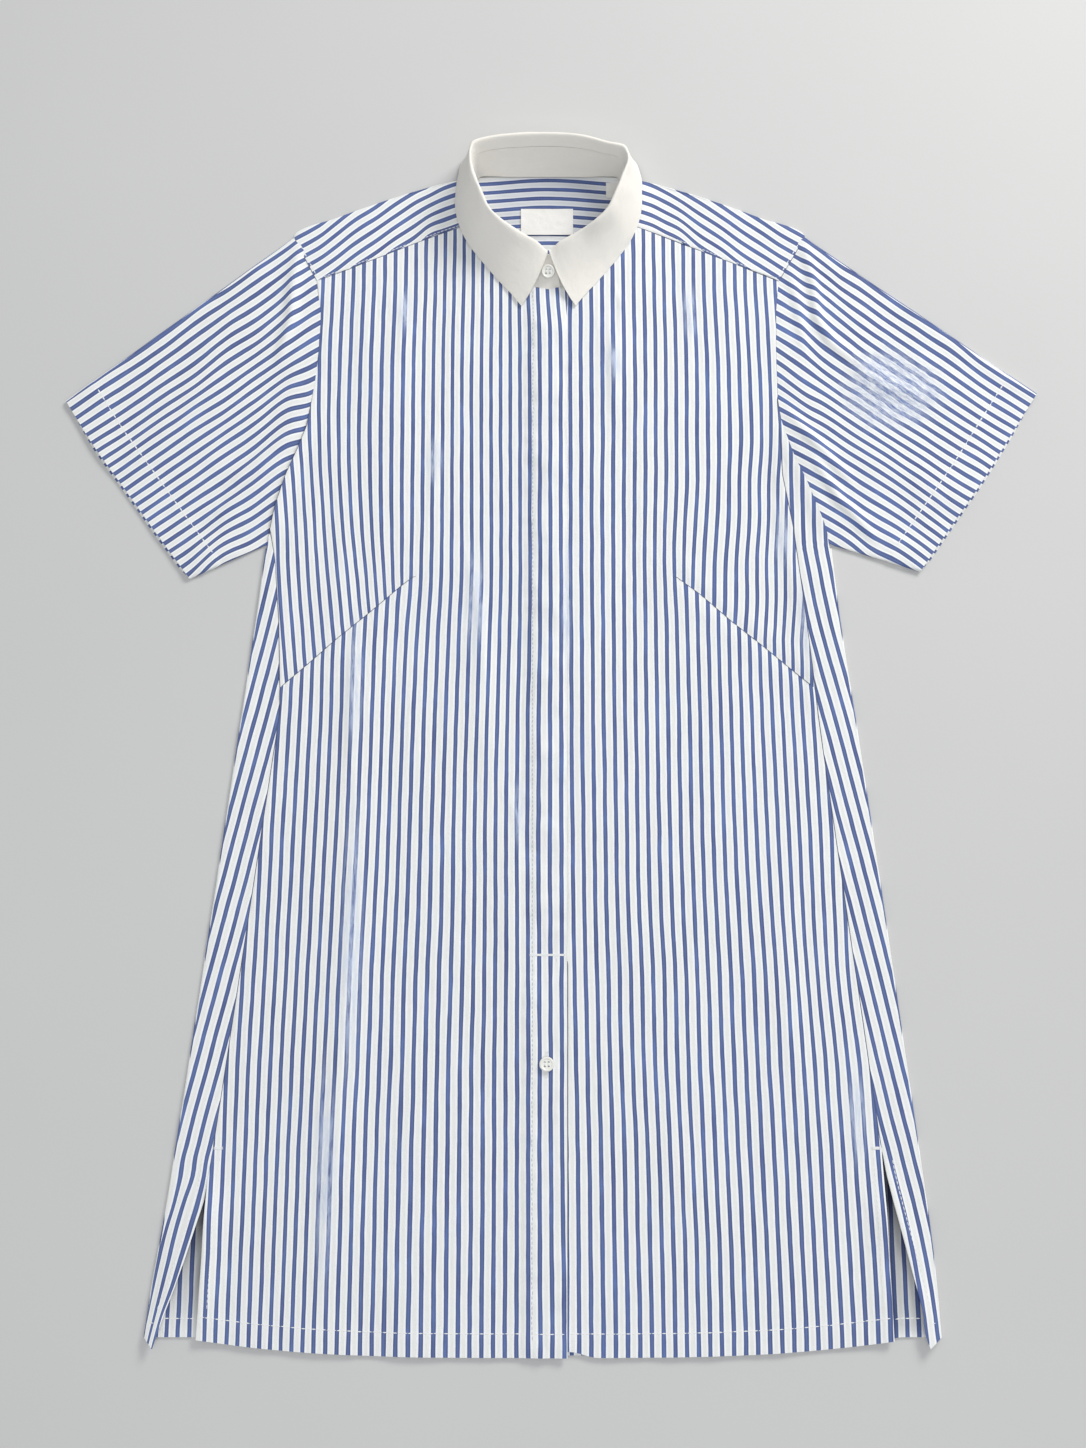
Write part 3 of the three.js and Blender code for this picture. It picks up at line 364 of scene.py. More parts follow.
def shell(name, net, maps, has=None, ring=False, thick=THIN, raised=None, edge_roll=True):
    """A closed wall of cloth on both sides of a net of points. has says which
    of its patches are there, ring joins its first and last rows, and raised
    adds to the outer face only."""
    ni, nj = net.shape[:2]
    pi = ni if ring else ni - 1
    if has is None:
        has = np.ones((pi, nj - 1), bool)
    I, J = np.nonzero(has)
    I2 = (I + 1) % ni
    a, b, c, d = net[I, J], net[I2, J], net[I2, J + 1], net[I, J + 1]
    n = np.cross(c - a, d - b)
    normals = np.zeros_like(net)
    for p, q in ((I, J), (I2, J), (I2, J + 1), (I, J + 1)):
        np.add.at(normals, (p, q), n)
    used = np.zeros((ni, nj), bool)
    for i_, j_ in ((I, J), (I2, J), (I2, J + 1), (I, J + 1)):
        used[i_, j_] = True
    length = np.linalg.norm(normals, axis=2, keepdims=True)
    normals = np.where(length < 1e-12, np.array([0.0, 0.0, 1.0]), normals)
    length = np.where(length < 1e-12, 1.0, length)
    normals = normals / np.maximum(length, 1e-12)
    extra = 0 if raised is None else raised[..., None]
    top = net + normals * (thick / 2 + extra)
    low = net - normals * thick / 2
    number = -np.ones((ni, nj), int)
    number[used] = np.arange(used.sum())
    count = used.sum()
    verts = np.concatenate([top[used], low[used]])
    T = lambda i, j: number[i, j]
    B = lambda i, j: number[i, j] + count
    quads = [np.stack([T(I, J), T(I2, J), T(I2, J + 1), T(I, J + 1)], 1),
             np.stack([B(I, J), B(I, J + 1), B(I2, J + 1), B(I2, J)], 1)]
    full = np.zeros((pi + 2, nj + 1), bool)
    full[1:-1, 1:-1] = has
    if ring:
        full[0, 1:-1], full[-1, 1:-1] = has[-1], has[0]
    m = ~full[1 + I, J]
    quads.append(np.stack([B(I, J), B(I2, J), T(I2, J), T(I, J)], 1)[m])
    m = ~full[1 + I, J + 2]
    quads.append(np.stack([B(I2, J + 1), B(I, J + 1), T(I, J + 1), T(I2, J + 1)], 1)[m])
    m = ~full[I, 1 + J]
    quads.append(np.stack([B(I, J + 1), B(I, J), T(I, J), T(I, J + 1)], 1)[m])
    m = ~full[I + 2, 1 + J]
    quads.append(np.stack([B(I2, J), B(I2, J + 1), T(I2, J + 1), T(I2, J)], 1)[m])
    flat = {k: np.concatenate([v[used], v[used]]) for k, v in maps.items()}
    return build(name, verts, np.concatenate(quads), flat)


def place(obj, material, slot, *nodes):
    obj.data.materials.append(material)
    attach(obj, "root")
    if nodes:
        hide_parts(*nodes)
    return obj


def tubes(name, runs, sides=6, taper=True, flat=1.0):
    """Joined short threads: runs is a list of (points in mm, radius)."""
    verts, quads = [], []
    count = 0
    for pts, radius in runs:
        pts = np.array(pts, float)
        n = len(pts)
        along = np.gradient(pts, axis=0)
        along /= np.maximum(np.linalg.norm(along, axis=1, keepdims=True), 1e-9)
        ref = np.array([0, 0, 1.0]) if abs(along[0, 2]) < 0.9 else np.array([1.0, 0, 0])
        u = np.cross(along, ref)
        u /= np.linalg.norm(u, axis=1, keepdims=True)
        v = np.cross(along, u)
        r = np.full(n, radius)
        if taper:
            r[0] = r[-1] = radius * 0.35
        ang = np.arange(sides) * 2 * np.pi / sides
        ringed = pts[:, None] + r[:, None, None] * (np.cos(ang)[None, :, None] * u[:, None] + flat * np.sin(ang)[None, :, None] * v[:, None])
        verts.append(ringed.reshape(-1, 3))
        i, k = np.meshgrid(np.arange(n - 1), np.arange(sides), indexing="ij")
        i, k = i.ravel(), k.ravel()
        k2 = (k + 1) % sides
        quads.append(np.stack([i * sides + k, i * sides + k2, (i + 1) * sides + k2, (i + 1) * sides + k], 1) + count)
        ends = []
        for base, flip in ((0, False), ((n - 1) * sides, True)):
            q = [base + e for e in range(sides)]
            for e in range(0, sides - 2, 2):
                quad = [q[0], q[e + 1], q[e + 2], q[(e + 3) % sides]]
                ends.append(quad[::-1] if not flip else quad)
        quads.append(np.array(ends) + count)
        count += n * sides
    verts, quads = np.concatenate(verts), np.concatenate(quads)
    return build(name, verts, quads, {"cloth": verts[:, :2] / PITCH}, sharp=80)


def raised_net(net, raised):
    out = net.copy()
    out[..., 2] += raised
    return out


# ----------------------------------------------------------------- materials
def linear(r, g, b):
    f = lambda c: c / 12.92 if c <= 0.04045 else ((c + 0.055) / 1.055) ** 2.4
    return tuple(f(v / 255.0) for v in (r, g, b)) + (1.0,)


class Nodes:
    def __init__(self, name):
        self.material = bpy.data.materials.new(name)
        self.material.use_nodes = True
        self.tree = self.material.node_tree
        self.bsdf = self.tree.nodes["Principled BSDF"]

    def add(self, kind, **values):
        node = self.tree.nodes.new(kind)
        for key, value in values.items():
            setattr(node, key, value)
        return node

    def link(self, a, b):
        self.tree.links.new(a, b)

    def math(self, operation, a, b=None, clamped=False):
        node = self.add("ShaderNodeMath", operation=operation, use_clamp=clamped)
        for k, v in enumerate((a, b)):
            if v is None:
                continue
            if isinstance(v, (int, float)):
                node.inputs[k].default_value = v
            else:
                self.link(v, node.inputs[k])
        return node.outputs[0]

    def ramp(self, value, a, b, lo=0.0, hi=1.0):
        node = self.add("ShaderNodeMapRange", interpolation_type="SMOOTHSTEP")
        self.link(value, node.inputs["Value"])
        for key, v in (("From Min", a), ("From Max", b), ("To Min", lo), ("To Max", hi)):
            node.inputs[key].default_value = v
        return node.outputs[0]

    def blend(self, factor, a, b, how="MIX"):
        node = self.add("ShaderNodeMix", data_type="RGBA", blend_type=how)
        for k, v in ((0, factor), (6, a), (7, b)):
            if isinstance(v, (int, float)) or isinstance(v, tuple):
                node.inputs[k].default_value = v
            else:
                self.link(v, node.inputs[k])
        return node.outputs[2]

    def noise(self, scale, detail=3.0, vector=None, rough=0.5, stretch=None):
        node = self.add("ShaderNodeTexNoise")
        node.inputs["Scale"].default_value = scale
        node.inputs["Detail"].default_value = detail
        node.inputs["Roughness"].default_value = rough
        if vector is None:
            vector = self.where()
        if stretch:
            m = self.add("ShaderNodeMapping")
            m.inputs["Scale"].default_value = stretch
            self.link(vector, m.inputs["Vector"])
            vector = m.outputs[0]
        self.link(vector, node.inputs["Vector"])
        return node.outputs["Fac"]

    def where(self):
        return self.add("ShaderNodeTexCoord").outputs["Object"]

    def uv(self, name):
        node = self.add("ShaderNodeUVMap", uv_map=name)
        split = self.add("ShaderNodeSeparateXYZ")
        self.link(node.outputs[0], split.inputs[0])
        return node.outputs[0], split.outputs[0], split.outputs[1]

    def bump(self, height, distance, strength, normal=None):
        node = self.add("ShaderNodeBump")
        node.inputs["Distance"].default_value = distance
        node.inputs["Strength"].default_value = strength
        self.link(height, node.inputs["Height"])
        if normal is not None:
            self.link(normal, node.inputs["Normal"])
        return node.outputs[0]

    def weave(self, u, v, threads):
        a = self.math("SINE", self.math("MULTIPLY", u, 2 * math.pi * threads))
        b = self.math("SINE", self.math("MULTIPLY", v, 2 * math.pi * threads))
        return self.math("MULTIPLY", a, b)


BLUE_EDGE, BLUE_MID = linear(80, 94, 140), linear(102, 120, 168)
WHITE_EDGE, WHITE_MID = linear(248, 250, 251), linear(234, 235, 232)


PALE_STREAKS = [  # centre x, y, half width, half length
    (-118, 812, 7, 22), (116, 812, 8, 26), (53, 768, 8, 20), (-92, 683, 8, 22), (-58, 566, 10, 48),
    (-152, 500, 7, 60), (-150, 300, 9, 120), (186, 618, 8, 26), (204, 560, 9, 50), (236, 330, 9, 60),
    (-23, 398, 5, 30), (-166, 130, 9, 90), (14, 560, 4, 60), (230, 170, 8, 40)]


def striped(name, dart=False, worn=False, pale_streaks=(), inner=False, shaded=False, broad=0.0):
    n = Nodes(name)
    vec, u, v = n.uv("cloth")
    if dart:
        _, u2, away = n.uv("below")
        below = n.math("LESS_THAN", away, 0.0)
        keep = n.math("SUBTRACT", 1.0, below)
        u = n.math("ADD", n.math("MULTIPLY", u, keep), n.math("MULTIPLY", u2, below))
    wander = n.math("MULTIPLY", n.math("SUBTRACT", n.noise(1.0, 2.0, vec, stretch=(0.9, 0.26, 1)), 0.5), 0.13)
    drift = n.math("MULTIPLY", n.math("SUBTRACT", n.noise(1.0, 1.0, vec, stretch=(0.21, 0.075, 1)), 0.5), 0.13)
    place_ = n.math("ADD", n.math("ADD", u, wander), drift)
    patch = None
    if worn:
        where = n.where()
        m = n.add("ShaderNodeMapping")
        cx, cy = 278.0 + SHIFT[0], 745.0 + SHIFT[1]
        m.inputs["Location"].default_value = (-cx / 40.0, -cy / 34.0, 0)
        m.inputs["Scale"].default_value = (1000 / 40.0, 1000 / 34.0, 0.0)
        n.link(where, m.inputs["Vector"])
        dist = n.add("ShaderNodeVectorMath", operation="LENGTH")
        n.link(m.outputs[0], dist.inputs[0])
        ragged = n.math("ADD", dist.outputs["Value"], n.math("MULTIPLY", n.math("SUBTRACT", n.noise(60.0, 4.0, where, rough=0.65), 0.5), 1.1))
        inside = n.ramp(ragged, 1.25, 0.45)
        patch = inside
        place_ = n.math("ADD", place_, n.math("MULTIPLY", n.math("MULTIPLY", n.math("SUBTRACT", n.noise(70.0, 3.0, where), 0.5), 0.5), inside))
    part = n.math("SUBTRACT", n.math("FRACT", n.math("ADD", place_, 0.5)), 0.5)
    d = n.math("ABSOLUTE", part)
    yarn = n.noise(1.0, 3.0, vec, rough=0.7, stretch=(26.0, 1.6, 1))
    edge = n.math("ADD", d, n.math("MULTIPLY", n.math("SUBTRACT", yarn, 0.5), 0.02))
    blue = n.ramp(edge, 0.208 + broad, 0.172 + broad)
    mid = n.ramp(d, 0.12, 0.03)
    blue_c = n.blend(n.math("MULTIPLY", mid, 0.75), BLUE_EDGE, BLUE_MID)
    white_c = n.blend(n.math("MULTIPLY", n.ramp(d, 0.27, 0.40), 0.8), WHITE_EDGE, WHITE_MID)
    cloud = n.noise(9.0, 3.0)
    blue_c = n.blend(n.ramp(cloud, 0.35, 0.7, 0.0, 0.35), blue_c, linear(100, 122, 180))
    faded = n.noise(1.0, 3.0, vec, rough=0.6, stretch=(0.8, 0.22, 1))
    blue_c = n.blend(n.ramp(faded, 0.5, 0.7, 0.0, 0.45), blue_c, linear(108, 134, 194))
    blue_c = n.blend(n.ramp(faded, 0.48, 0.3, 0.0, 0.35), blue_c, linear(74, 80, 128))
    cloth = n.blend(blue, white_c, blue_c)
    if pale_streaks:
        # Places along the creases, where the blue is paler and its edges run together.
        where = n.where()
        most = None
        for x0, y0, rx, ry in pale_streaks:
            m = n.add("ShaderNodeMapping")
            m.inputs["Location"].default_value = (-(x0 + SHIFT[0]) / rx, -(y0 + SHIFT[1]) / ry, 0)
            m.inputs["Scale"].default_value = (1000 / rx, 1000 / ry, 0.0)
            n.link(where, m.inputs["Vector"])
            far = n.add("ShaderNodeVectorMath", operation="LENGTH")
            n.link(m.outputs[0], far.inputs[0])
            one = n.ramp(far.outputs["Value"], 1.2, 0.2)
            most = one if most is None else n.math("MAXIMUM", most, one)
        hairs = n.noise(1.0, 4.0, vec, rough=0.7, stretch=(3.0, 0.35, 1))
        pale = n.math("MULTIPLY", most, n.ramp(hairs, 0.30, 0.66))
        cloth = n.blend(n.math("MULTIPLY", pale, 0.8), cloth, linear(205, 216, 236))
    if patch is not None:
        hairs = n.noise(1.0, 4.0, vec, rough=0.75, stretch=(7.0, 1.1, 1))
        rubbed = n.blend(n.ramp(hairs, 0.36, 0.62), linear(120, 142, 194), linear(232, 237, 244))
        cloth = n.blend(n.math("MULTIPLY", patch, 0.56), cloth, rubbed)
    if inner:
        # Painted shade inside the neck: the colours are darkened towards its middle.
        m = n.add("ShaderNodeMapping")
        m.inputs["Location"].default_value = (-SHIFT[0] / 68.0, -(912 + SHIFT[1]) / 46.0, 0)
        m.inputs["Scale"].default_value = (1000 / 68.0, 1000 / 46.0, 0.0)
        n.link(n.where(), m.inputs["Vector"])
        far = n.add("ShaderNodeVectorMath", operation="LENGTH")
        n.link(m.outputs[0], far.inputs[0])
        cloth = n.blend(n.ramp(far.outputs["Value"], 1.05, 0.5, 0.0, 0.62), cloth, linear(186, 190, 203), "MULTIPLY")
    # Painted shade in the slits: the shade map darkens the cloth's colour.
    if shaded:
        _, depth, _ = n.uv("shade")
        cloth = n.blend(depth, cloth, linear(58, 62, 78), "MULTIPLY")
    threads = n.weave(u, v, 17.0)
    shade = n.ramp(threads, -1.0, 1.0, 0.955, 1.0)
    cloth = n.blend(1.0, cloth, _grey(n, shade), "MULTIPLY")
    n.link(cloth, n.bsdf.inputs["Base Color"])
    n.bsdf.inputs["Roughness"].default_value = 0.82
    n.bsdf.inputs["Specular IOR Level"].default_value = 0.25
    n.bsdf.inputs["Sheen Weight"].default_value = 0.12
    n.bsdf.inputs["Sheen Roughness"].default_value = 0.5
    fine = n.noise(1.0, 3.0, vec, stretch=(2.2, 0.55, 1))
    b = n.bump(threads, 0.00006, 0.5)
    b = n.bump(fine, 0.0009, 0.5, b)
    b = n.bump(n.noise(30.0, 4.0, rough=0.6), 0.0012, 0.35, b)
    n.link(b, n.bsdf.inputs["Normal"])
    return n.material


def _grey(n, value):
    node = n.add("ShaderNodeCombineColor")
    for k in range(3):
        n.link(value, node.inputs[k])
    return node.outputs[0]


def plain(name, colour, dark, threads=26.0, rough=0.78, wrinkle=0.5):
    n = Nodes(name)
    vec, u, v = n.uv("cloth")
    t = n.weave(u, v, threads)
    base = n.blend(n.noise(14.0, 4.0), colour, dark)
    base = n.blend(1.0, base, _grey(n, n.ramp(t, -1.0, 1.0, 0.96, 1.0)), "MULTIPLY")
    n.link(base, n.bsdf.inputs["Base Color"])
    n.bsdf.inputs["Roughness"].default_value = rough
    n.bsdf.inputs["Specular IOR Level"].default_value = 0.25
    n.bsdf.inputs["Sheen Weight"].default_value = 0.1
    b = n.bump(t, 0.00005, 0.5)
    b = n.bump(n.noise(1.0, 4.0, vec, stretch=(1.1, 1.1, 1)), 0.0010, wrinkle, b)
    n.link(b, n.bsdf.inputs["Normal"])
    return n.material


def pearl(name):
    n = Nodes(name)
    swirl = n.noise(260.0, 3.0, rough=0.6)
    base = n.blend(swirl, linear(244, 243, 236), linear(222, 222, 215))
    n.link(base, n.bsdf.inputs["Base Color"])
    n.bsdf.inputs["Roughness"].default_value = 0.28
    n.bsdf.inputs["Coat Weight"].default_value = 0.3
    n.bsdf.inputs["Coat Roughness"].default_value = 0.15
    n.link(n.bump(n.noise(900.0, 2.0), 0.00003, 0.3), n.bsdf.inputs["Normal"])
    return n.material


def thread(name, colour):
    n = Nodes(name)
    twist = n.noise(2600.0, 2.0)
    n.link(n.blend(twist, colour, tuple(0.82 * c for c in colour[:3]) + (1.0,)), n.bsdf.inputs["Base Color"])
    n.bsdf.inputs["Roughness"].default_value = 0.6
    n.link(n.bump(twist, 0.00005, 0.4), n.bsdf.inputs["Normal"])
    return n.material


STRIPES = striped("striped_cotton", broad=0.018)
STRIPES_BACK = striped("striped_cotton_back", shaded=True)
# the yoke's stripes, with painted shade inside the neck
STRIPES_YOKE_NECK_SHADE = striped("striped_cotton_yoke_neck_shade", inner=True, broad=0.016)
STRIPES_DART = striped("striped_cotton_fronts", dart=True, pale_streaks=PALE_STREAKS)
STRIPES_WORN = striped("striped_cotton_worn", worn=True, broad=0.026)
COLLAR_WHITE = plain("collar_cotton", linear(246, 243, 236), linear(239, 235, 226))
LABEL_WHITE = plain("label_satin", linear(240, 239, 236), linear(228, 226, 221), threads=34.0, rough=0.5, wrinkle=0.25)
PEARL = pearl("shell_button")
THREAD = thread("white_thread", linear(244, 245, 245))
# grey placket thread: painted shade of the stitches' puckers on the white stripe
PLACKET_SHADE_THREAD = thread("placket_thread_painted_shade", linear(196, 201, 212))
# dark thread for the painted shade along the seams
SHADOW_THREAD = thread("seam_shadow_thread", linear(84, 90, 116))

# ---------------------------------------------------------------- back panel
ROWS = np.array([  # the row's height at the side fold, left edge, right edge
    (HEM_RISE + BACK_HEM_UP, 7, 7), (55, 55, 55), (100, 100, 100), (SLIT_TOP, SLIT_TOP, SLIT_TOP),
    (250, 257, 257), (350, 368, 368), (440, 479, 479), (500, 515, 552), (545, 552, 625),
    (582, 600, 671), (UNDERARM - 2, 621.5, 733)])
TOPS = {"left": [621.5, 610], "right": [733, 713, 692, 671, 645, 625, 610]}
FOLD_R = (HIGH - LOW) / 2


def fold_at(s, y):
    return fold_x(s, y) - s * (0.5 + 0.65)


def unfolded(s, x, y):
    """Where a point of a side strip lies with the strip laid out flat."""
    foot = y
    for _ in range(5):
        slope = (fold_x(s, foot + 3) - fold_x(s, foot - 3)) / 6
        foot = y + slope * (x - fold_x(s, foot))
    return 2 * fold_x(s, foot) - x, 2 * foot - y


def make_back():
    knots = np.arange(len(ROWS))
    j = []
    for k in range(len(ROWS) - 1):
        h = ROWS[k + 1, 0] - ROWS[k, 0]
        m = max(2, int(h / 4.5))
        j += list(k + np.arange(m) / m)
    j = np.array(j + [len(ROWS) - 1.0])
    fine = np.array([0, 0.3, 0.8, 1.6]) / (ROWS[1, 0] - ROWS[0, 0])
    j = np.concatenate([fine[:-1], j[j >= fine[-1]]])
    yf = np.interp(j, knots, ROWS[:, 0])
    upper = np.arange(UNDERARM + 3, BACK_YOKE_SEAM - SEAM, 4.5)
    upper = np.append(upper, BACK_YOKE_SEAM - SEAM)
    lines, us, vs, raised, shades = [], [], [], [], []
    nj = len(j) + len(upper)
    last = len(j) - 1

    def put(line, u, v, r=None, shade=None):
        lines.append(line)
        shades.append(np.zeros(nj) if shade is None else shade)
        us.append(u)
        vs.append(v)
        raised.append(np.zeros(nj) if r is None else r)

    def strip(s):
        tops = np.array(TOPS[side(s)], float)
        ys = np.interp(j, knots, ROWS[:, 1 if s < 0 else 2])
        xs = np.where(ys < SLIT_TOP, wrap_x(s, ys), seam_x(s, ys)) + s * SEAM
        under = np.where(ys > SLIT_TOP + 1, 1.0, 0.0) * smooth((ys - SLIT_TOP) / 12)
        for f in [-1.0] + list(spacing(40, 2.5)):
            # f = -1 is the seam allowance below the front
            g = max(f, 0.0)
            yt = tops[0] + (tops[-1] - tops[0]) * g
            x = mix(xs, fold_at(s, yf), g)
            y = mix(ys, yf, g)
            x[-1], y[-1] = arm_x(s, yt) - s * (SEAM + 0.02 + 1.15 * float(smooth(6 * g - 5))), yt
            pu, pv = unfolded(s, x, y)
            z = HIGH + 0.75 * waves(x, y) + puff(s, x, y)
            z = z + 2.3 * np.exp(-(np.abs(x - arm_x(s, y)) / 9) ** 2) * smooth((y - 606) / 34) * smooth((742 - y) / 60)
            z = z - 0.25 * (g == 0)
            open_ = smooth((SLIT_TOP - 6 - y) / 60)
            z = z + open_ * 4.4 * np.exp(-(np.abs(x - wrap_x(s, y)) / 12) ** 2) * (0.8 + 0.4 * noise(y / 30, 0 * y + s, 22))
            if f < 0:
                x = x - s * UNDER * under
                z = z - 0.75 * under
            pu = pu + (0.36 if s < 0 else -0.29) * PITCH + (0.22 * PITCH * smooth((170 - y) / 70) if s < 0 else 0)
            if s < 0:
                low = (flow(STRIP, (-33, -34, -35), y, x) - 0.2) * PITCH
                pu = mix(pu, low, smooth((150 - y) / 22))
            r = 0.32 * smooth((24 - y) / 2.5) + 0.25 * (y < SLIT_TOP - 5) * smooth((7 - np.abs(x - wrap_x(s, y))) / 1.5)
            line = np.zeros((nj, 3))
            line[:last + 1] = np.stack([x, y, z], 1)
            line[last + 1:] = line[last]
            yield line, np.append(pu, np.full(nj - last - 1, pu[-1])), np.append(pv, np.full(nj - last - 1, pv[-1])), \
                np.append(r, np.zeros(nj - last - 1))

    def turns(s):
        x0 = fold_at(s, yf)
        for a in np.linspace(0.9, 0.1, 9):
            ang = math.pi * a
            x = x0 + s * (FOLD_R * 1.5) * math.sin(ang)
            z = LOW + FOLD_R - FOLD_R * math.cos(ang)
            w = 0.5 - 0.5 * math.cos(ang)
            z = z + w * (0.75 * waves(x0, yf) + puff(s, x0, yf))
            line = np.zeros((nj, 3))
            line[:last + 1] = np.stack([x, yf, z], 1)
            line[last + 1:] = line[last]
            xu = x + (0.36 if s < 0 else -0.29) * PITCH
            yield line, np.append(xu, np.full(nj - last - 1, xu[-1])), np.append(yf, np.full(nj - last - 1, yf[-1])), np.zeros(nj)

    left = list(strip(-1)) + list(turns(-1))
    right = list(strip(1)) + list(turns(1))
    for row in left:
        put(*row)
    lies0 = len(lines)
    for across in np.linspace(0, 1, 121):
        bottom = hem_y(mix(fold_at(-1, 14.0), fold_at(1, 14.0), across)) + BACK_HEM_UP
        base, reach = ROWS[0, 0], ROWS[-1, 0] - ROWS[0, 0]
        y = np.append(mix(bottom, ROWS[-1, 0], (yf - base) / reach), upper)
        lo = np.append(fold_at(-1, y[:last + 1]), arm_x(-1, upper) + SEAM)
        hi = np.append(fold_at(1, y[:last + 1]), arm_x(1, upper) - SEAM)
        x = mix(lo, hi, across)
        z = np.full(nj, LOW) + 0.15 * (1 + noise(x / 40, y / 60, 11)) * (across > 0) * (across < 1)
        near = np.minimum(x - lo, hi - x)
        own = mix(0.65, 1.07, across)
        fold_own = np.where(x < 0, 0.36, -0.29 + 1.0)
        pu = x + PITCH * mix(fold_own, own, smooth(near / 14))
        # painted shade on the back's face inside the slits, deepest towards their tops and beside the front's edge
        away = np.abs(x) - np.abs(np.where(x < 0, seam_x(-1, y), seam_x(1, y)))
        deep = np.where(x < 0, np.interp(y, (14, 20, 31, 50, 70, 90, 109, 125), (0.0, 0.05, 0.16, 0.31, 0.47, 0.67, 0.86, 0.95)),
                        np.interp(y, (16, 20, 50, 90, 109, 125), (0.03, 0.26, 0.40, 0.6, 0.8, 0.95)))
        shade = clamp(deep + 0.35 * np.exp(-(away / 2.5) ** 2) * (y > 9)) * (y < SLIT_TOP + 30) * smooth((away + 16) / 8)
        put(np.stack([x, y, z], 1), pu, y, 0.25 * smooth((hem_y(x) + 18 - y) / 2), shade)
    lies1 = len(lines)
    for row in reversed(right):
        put(*row)
    net = np.array(lines)
    uv = np.stack([np.array(us) / PITCH + 0.2, np.array(vs) / PITCH], 2)
    dark = np.stack([np.array(shades), np.zeros_like(np.array(shades))], 2)
    has = np.ones((len(lines) - 1, nj - 1), bool)
    has[:, last:] = False
    has[lies0:lies1 - 1, last:] = True
    # the slits are open, with no seam allowance
    for line, column in ((0, 1), (len(lines) - 2, 2)):
        ys = np.interp(j, knots, ROWS[:, column])
        has[line, :last] &= ys[1:] > SLIT_TOP + 1
    shown = np.r_[0:lies0, lies1:len(lines)]
    obj = shell("back_panel_cloth", net, {"cloth": uv, "shade": dark}, has, raised=np.array(raised))
    inside = obj.data.uv_layers["shade"].data
    for face in obj.data.polygons:   # only the side that faces up is in the slits' shade
        if face.normal.z < 0.2:
            for corner in face.loop_indices:
                inside[corner].uv = (0.0, 0.0)
    return obj, raised_net(net, np.array(raised))[shown]


def puff(s, x, y):
    """The side folds stand up softly, more in some places than in others."""
    d = np.abs(x - fold_x(s, y))
    return 0.55 * np.exp(-((d - 7) / 7) ** 2) * (0.75 + 0.5 * noise(y / 48 + 9 * s, d / 30, 21))


# -------------------------------------------------------------------- fronts
NECK_G = [5.5, 4.8, 4.0, 3.2, 2.5, 1.9]


def collar_row(g):
    """The collar's section at g, mirrored past both ends of its table."""
    def at(k):
        flip = 1
        if k < 0:
            k, flip = -k, -1
        if k > LAST:
            k, flip = 2 * LAST - k, -flip
        r = COLLAR[k].copy()
        if flip < 0:
            r[[0, 3, 6]] *= -1
        return r
    i = math.floor(g)
    t = g - i
    p, a, b, c = at(i - 1), at(i), at(i + 1), at(i + 2)
    if i == 0:
        p[6:9] = 2 * a[6:9] - b[6:9]
    t2, t3 = t * t, t * t * t
    return ((2 * t3 - 3 * t2 + 1) * a + (t3 - 2 * t2 + t) * (b - p) / 2
            + (3 * t2 - 2 * t3) * b + (t3 - t2) * (c - a) / 2)


def neck_edge(g, d):
    r, a, b = collar_row(g), collar_row(g - 0.02), collar_row(g + 0.02)
    tx, ty = b[0] - a[0], b[1] - a[1]
    l = math.hypot(tx, ty)
    return r[0] + ty / l * d, r[1] - tx / l * d


def g_at(x):
    a, b = 0.0, 4.0
    for _ in range(40):
        m = (a + b) / 2
        if neck_edge(m, NECK_GAP)[0] < abs(x):
            a = m
        else:
            b = m
    return (a + b) / 2


def dart_away(s, x, y):
    """Height above the dart's line."""
    t = DARTS[side(s)]
    d = np.abs(x)
    line = np.interp(d, t[:, 0], t[:, 1])
    slope = np.where(d > t[0, 0], 0.86, 0.0)
    return (y - line) / np.sqrt(1 + slope ** 2)


def front_relief(s, x, y):
    """What stands up from the front's cloth, besides its creases."""
    z = waves(x, y)
    d = np.abs(x)
    # The dart: cloth pulled in along the seam, and fuller on both sides of it.
    t = DARTS[side(s)]
    away = dart_away(s, x, y)
    on = smooth((d - t[0, 0] + 6) / 12) * smooth((236 - d) / 10)
    z = z + on * (0.55 * np.exp(-((np.abs(away) - 9) / 8) ** 2) - 0.45 * np.exp(-(away / 1.5) ** 2))
    # A soft point where the dart ends.
    z = z + 0.7 * np.exp(-((d - t[0, 0] + 10) / 16) ** 2 - ((y - t[0, 1] - 6) / 22) ** 2)
    # Fullness towards the armhole, and drag from the underarm.
    z = z + 0.5 * noise(x / 22 + 3, y / 30 - x / 60, 31) * smooth((d - 120) / 60) * smooth((y - 560) / 60)
    return z


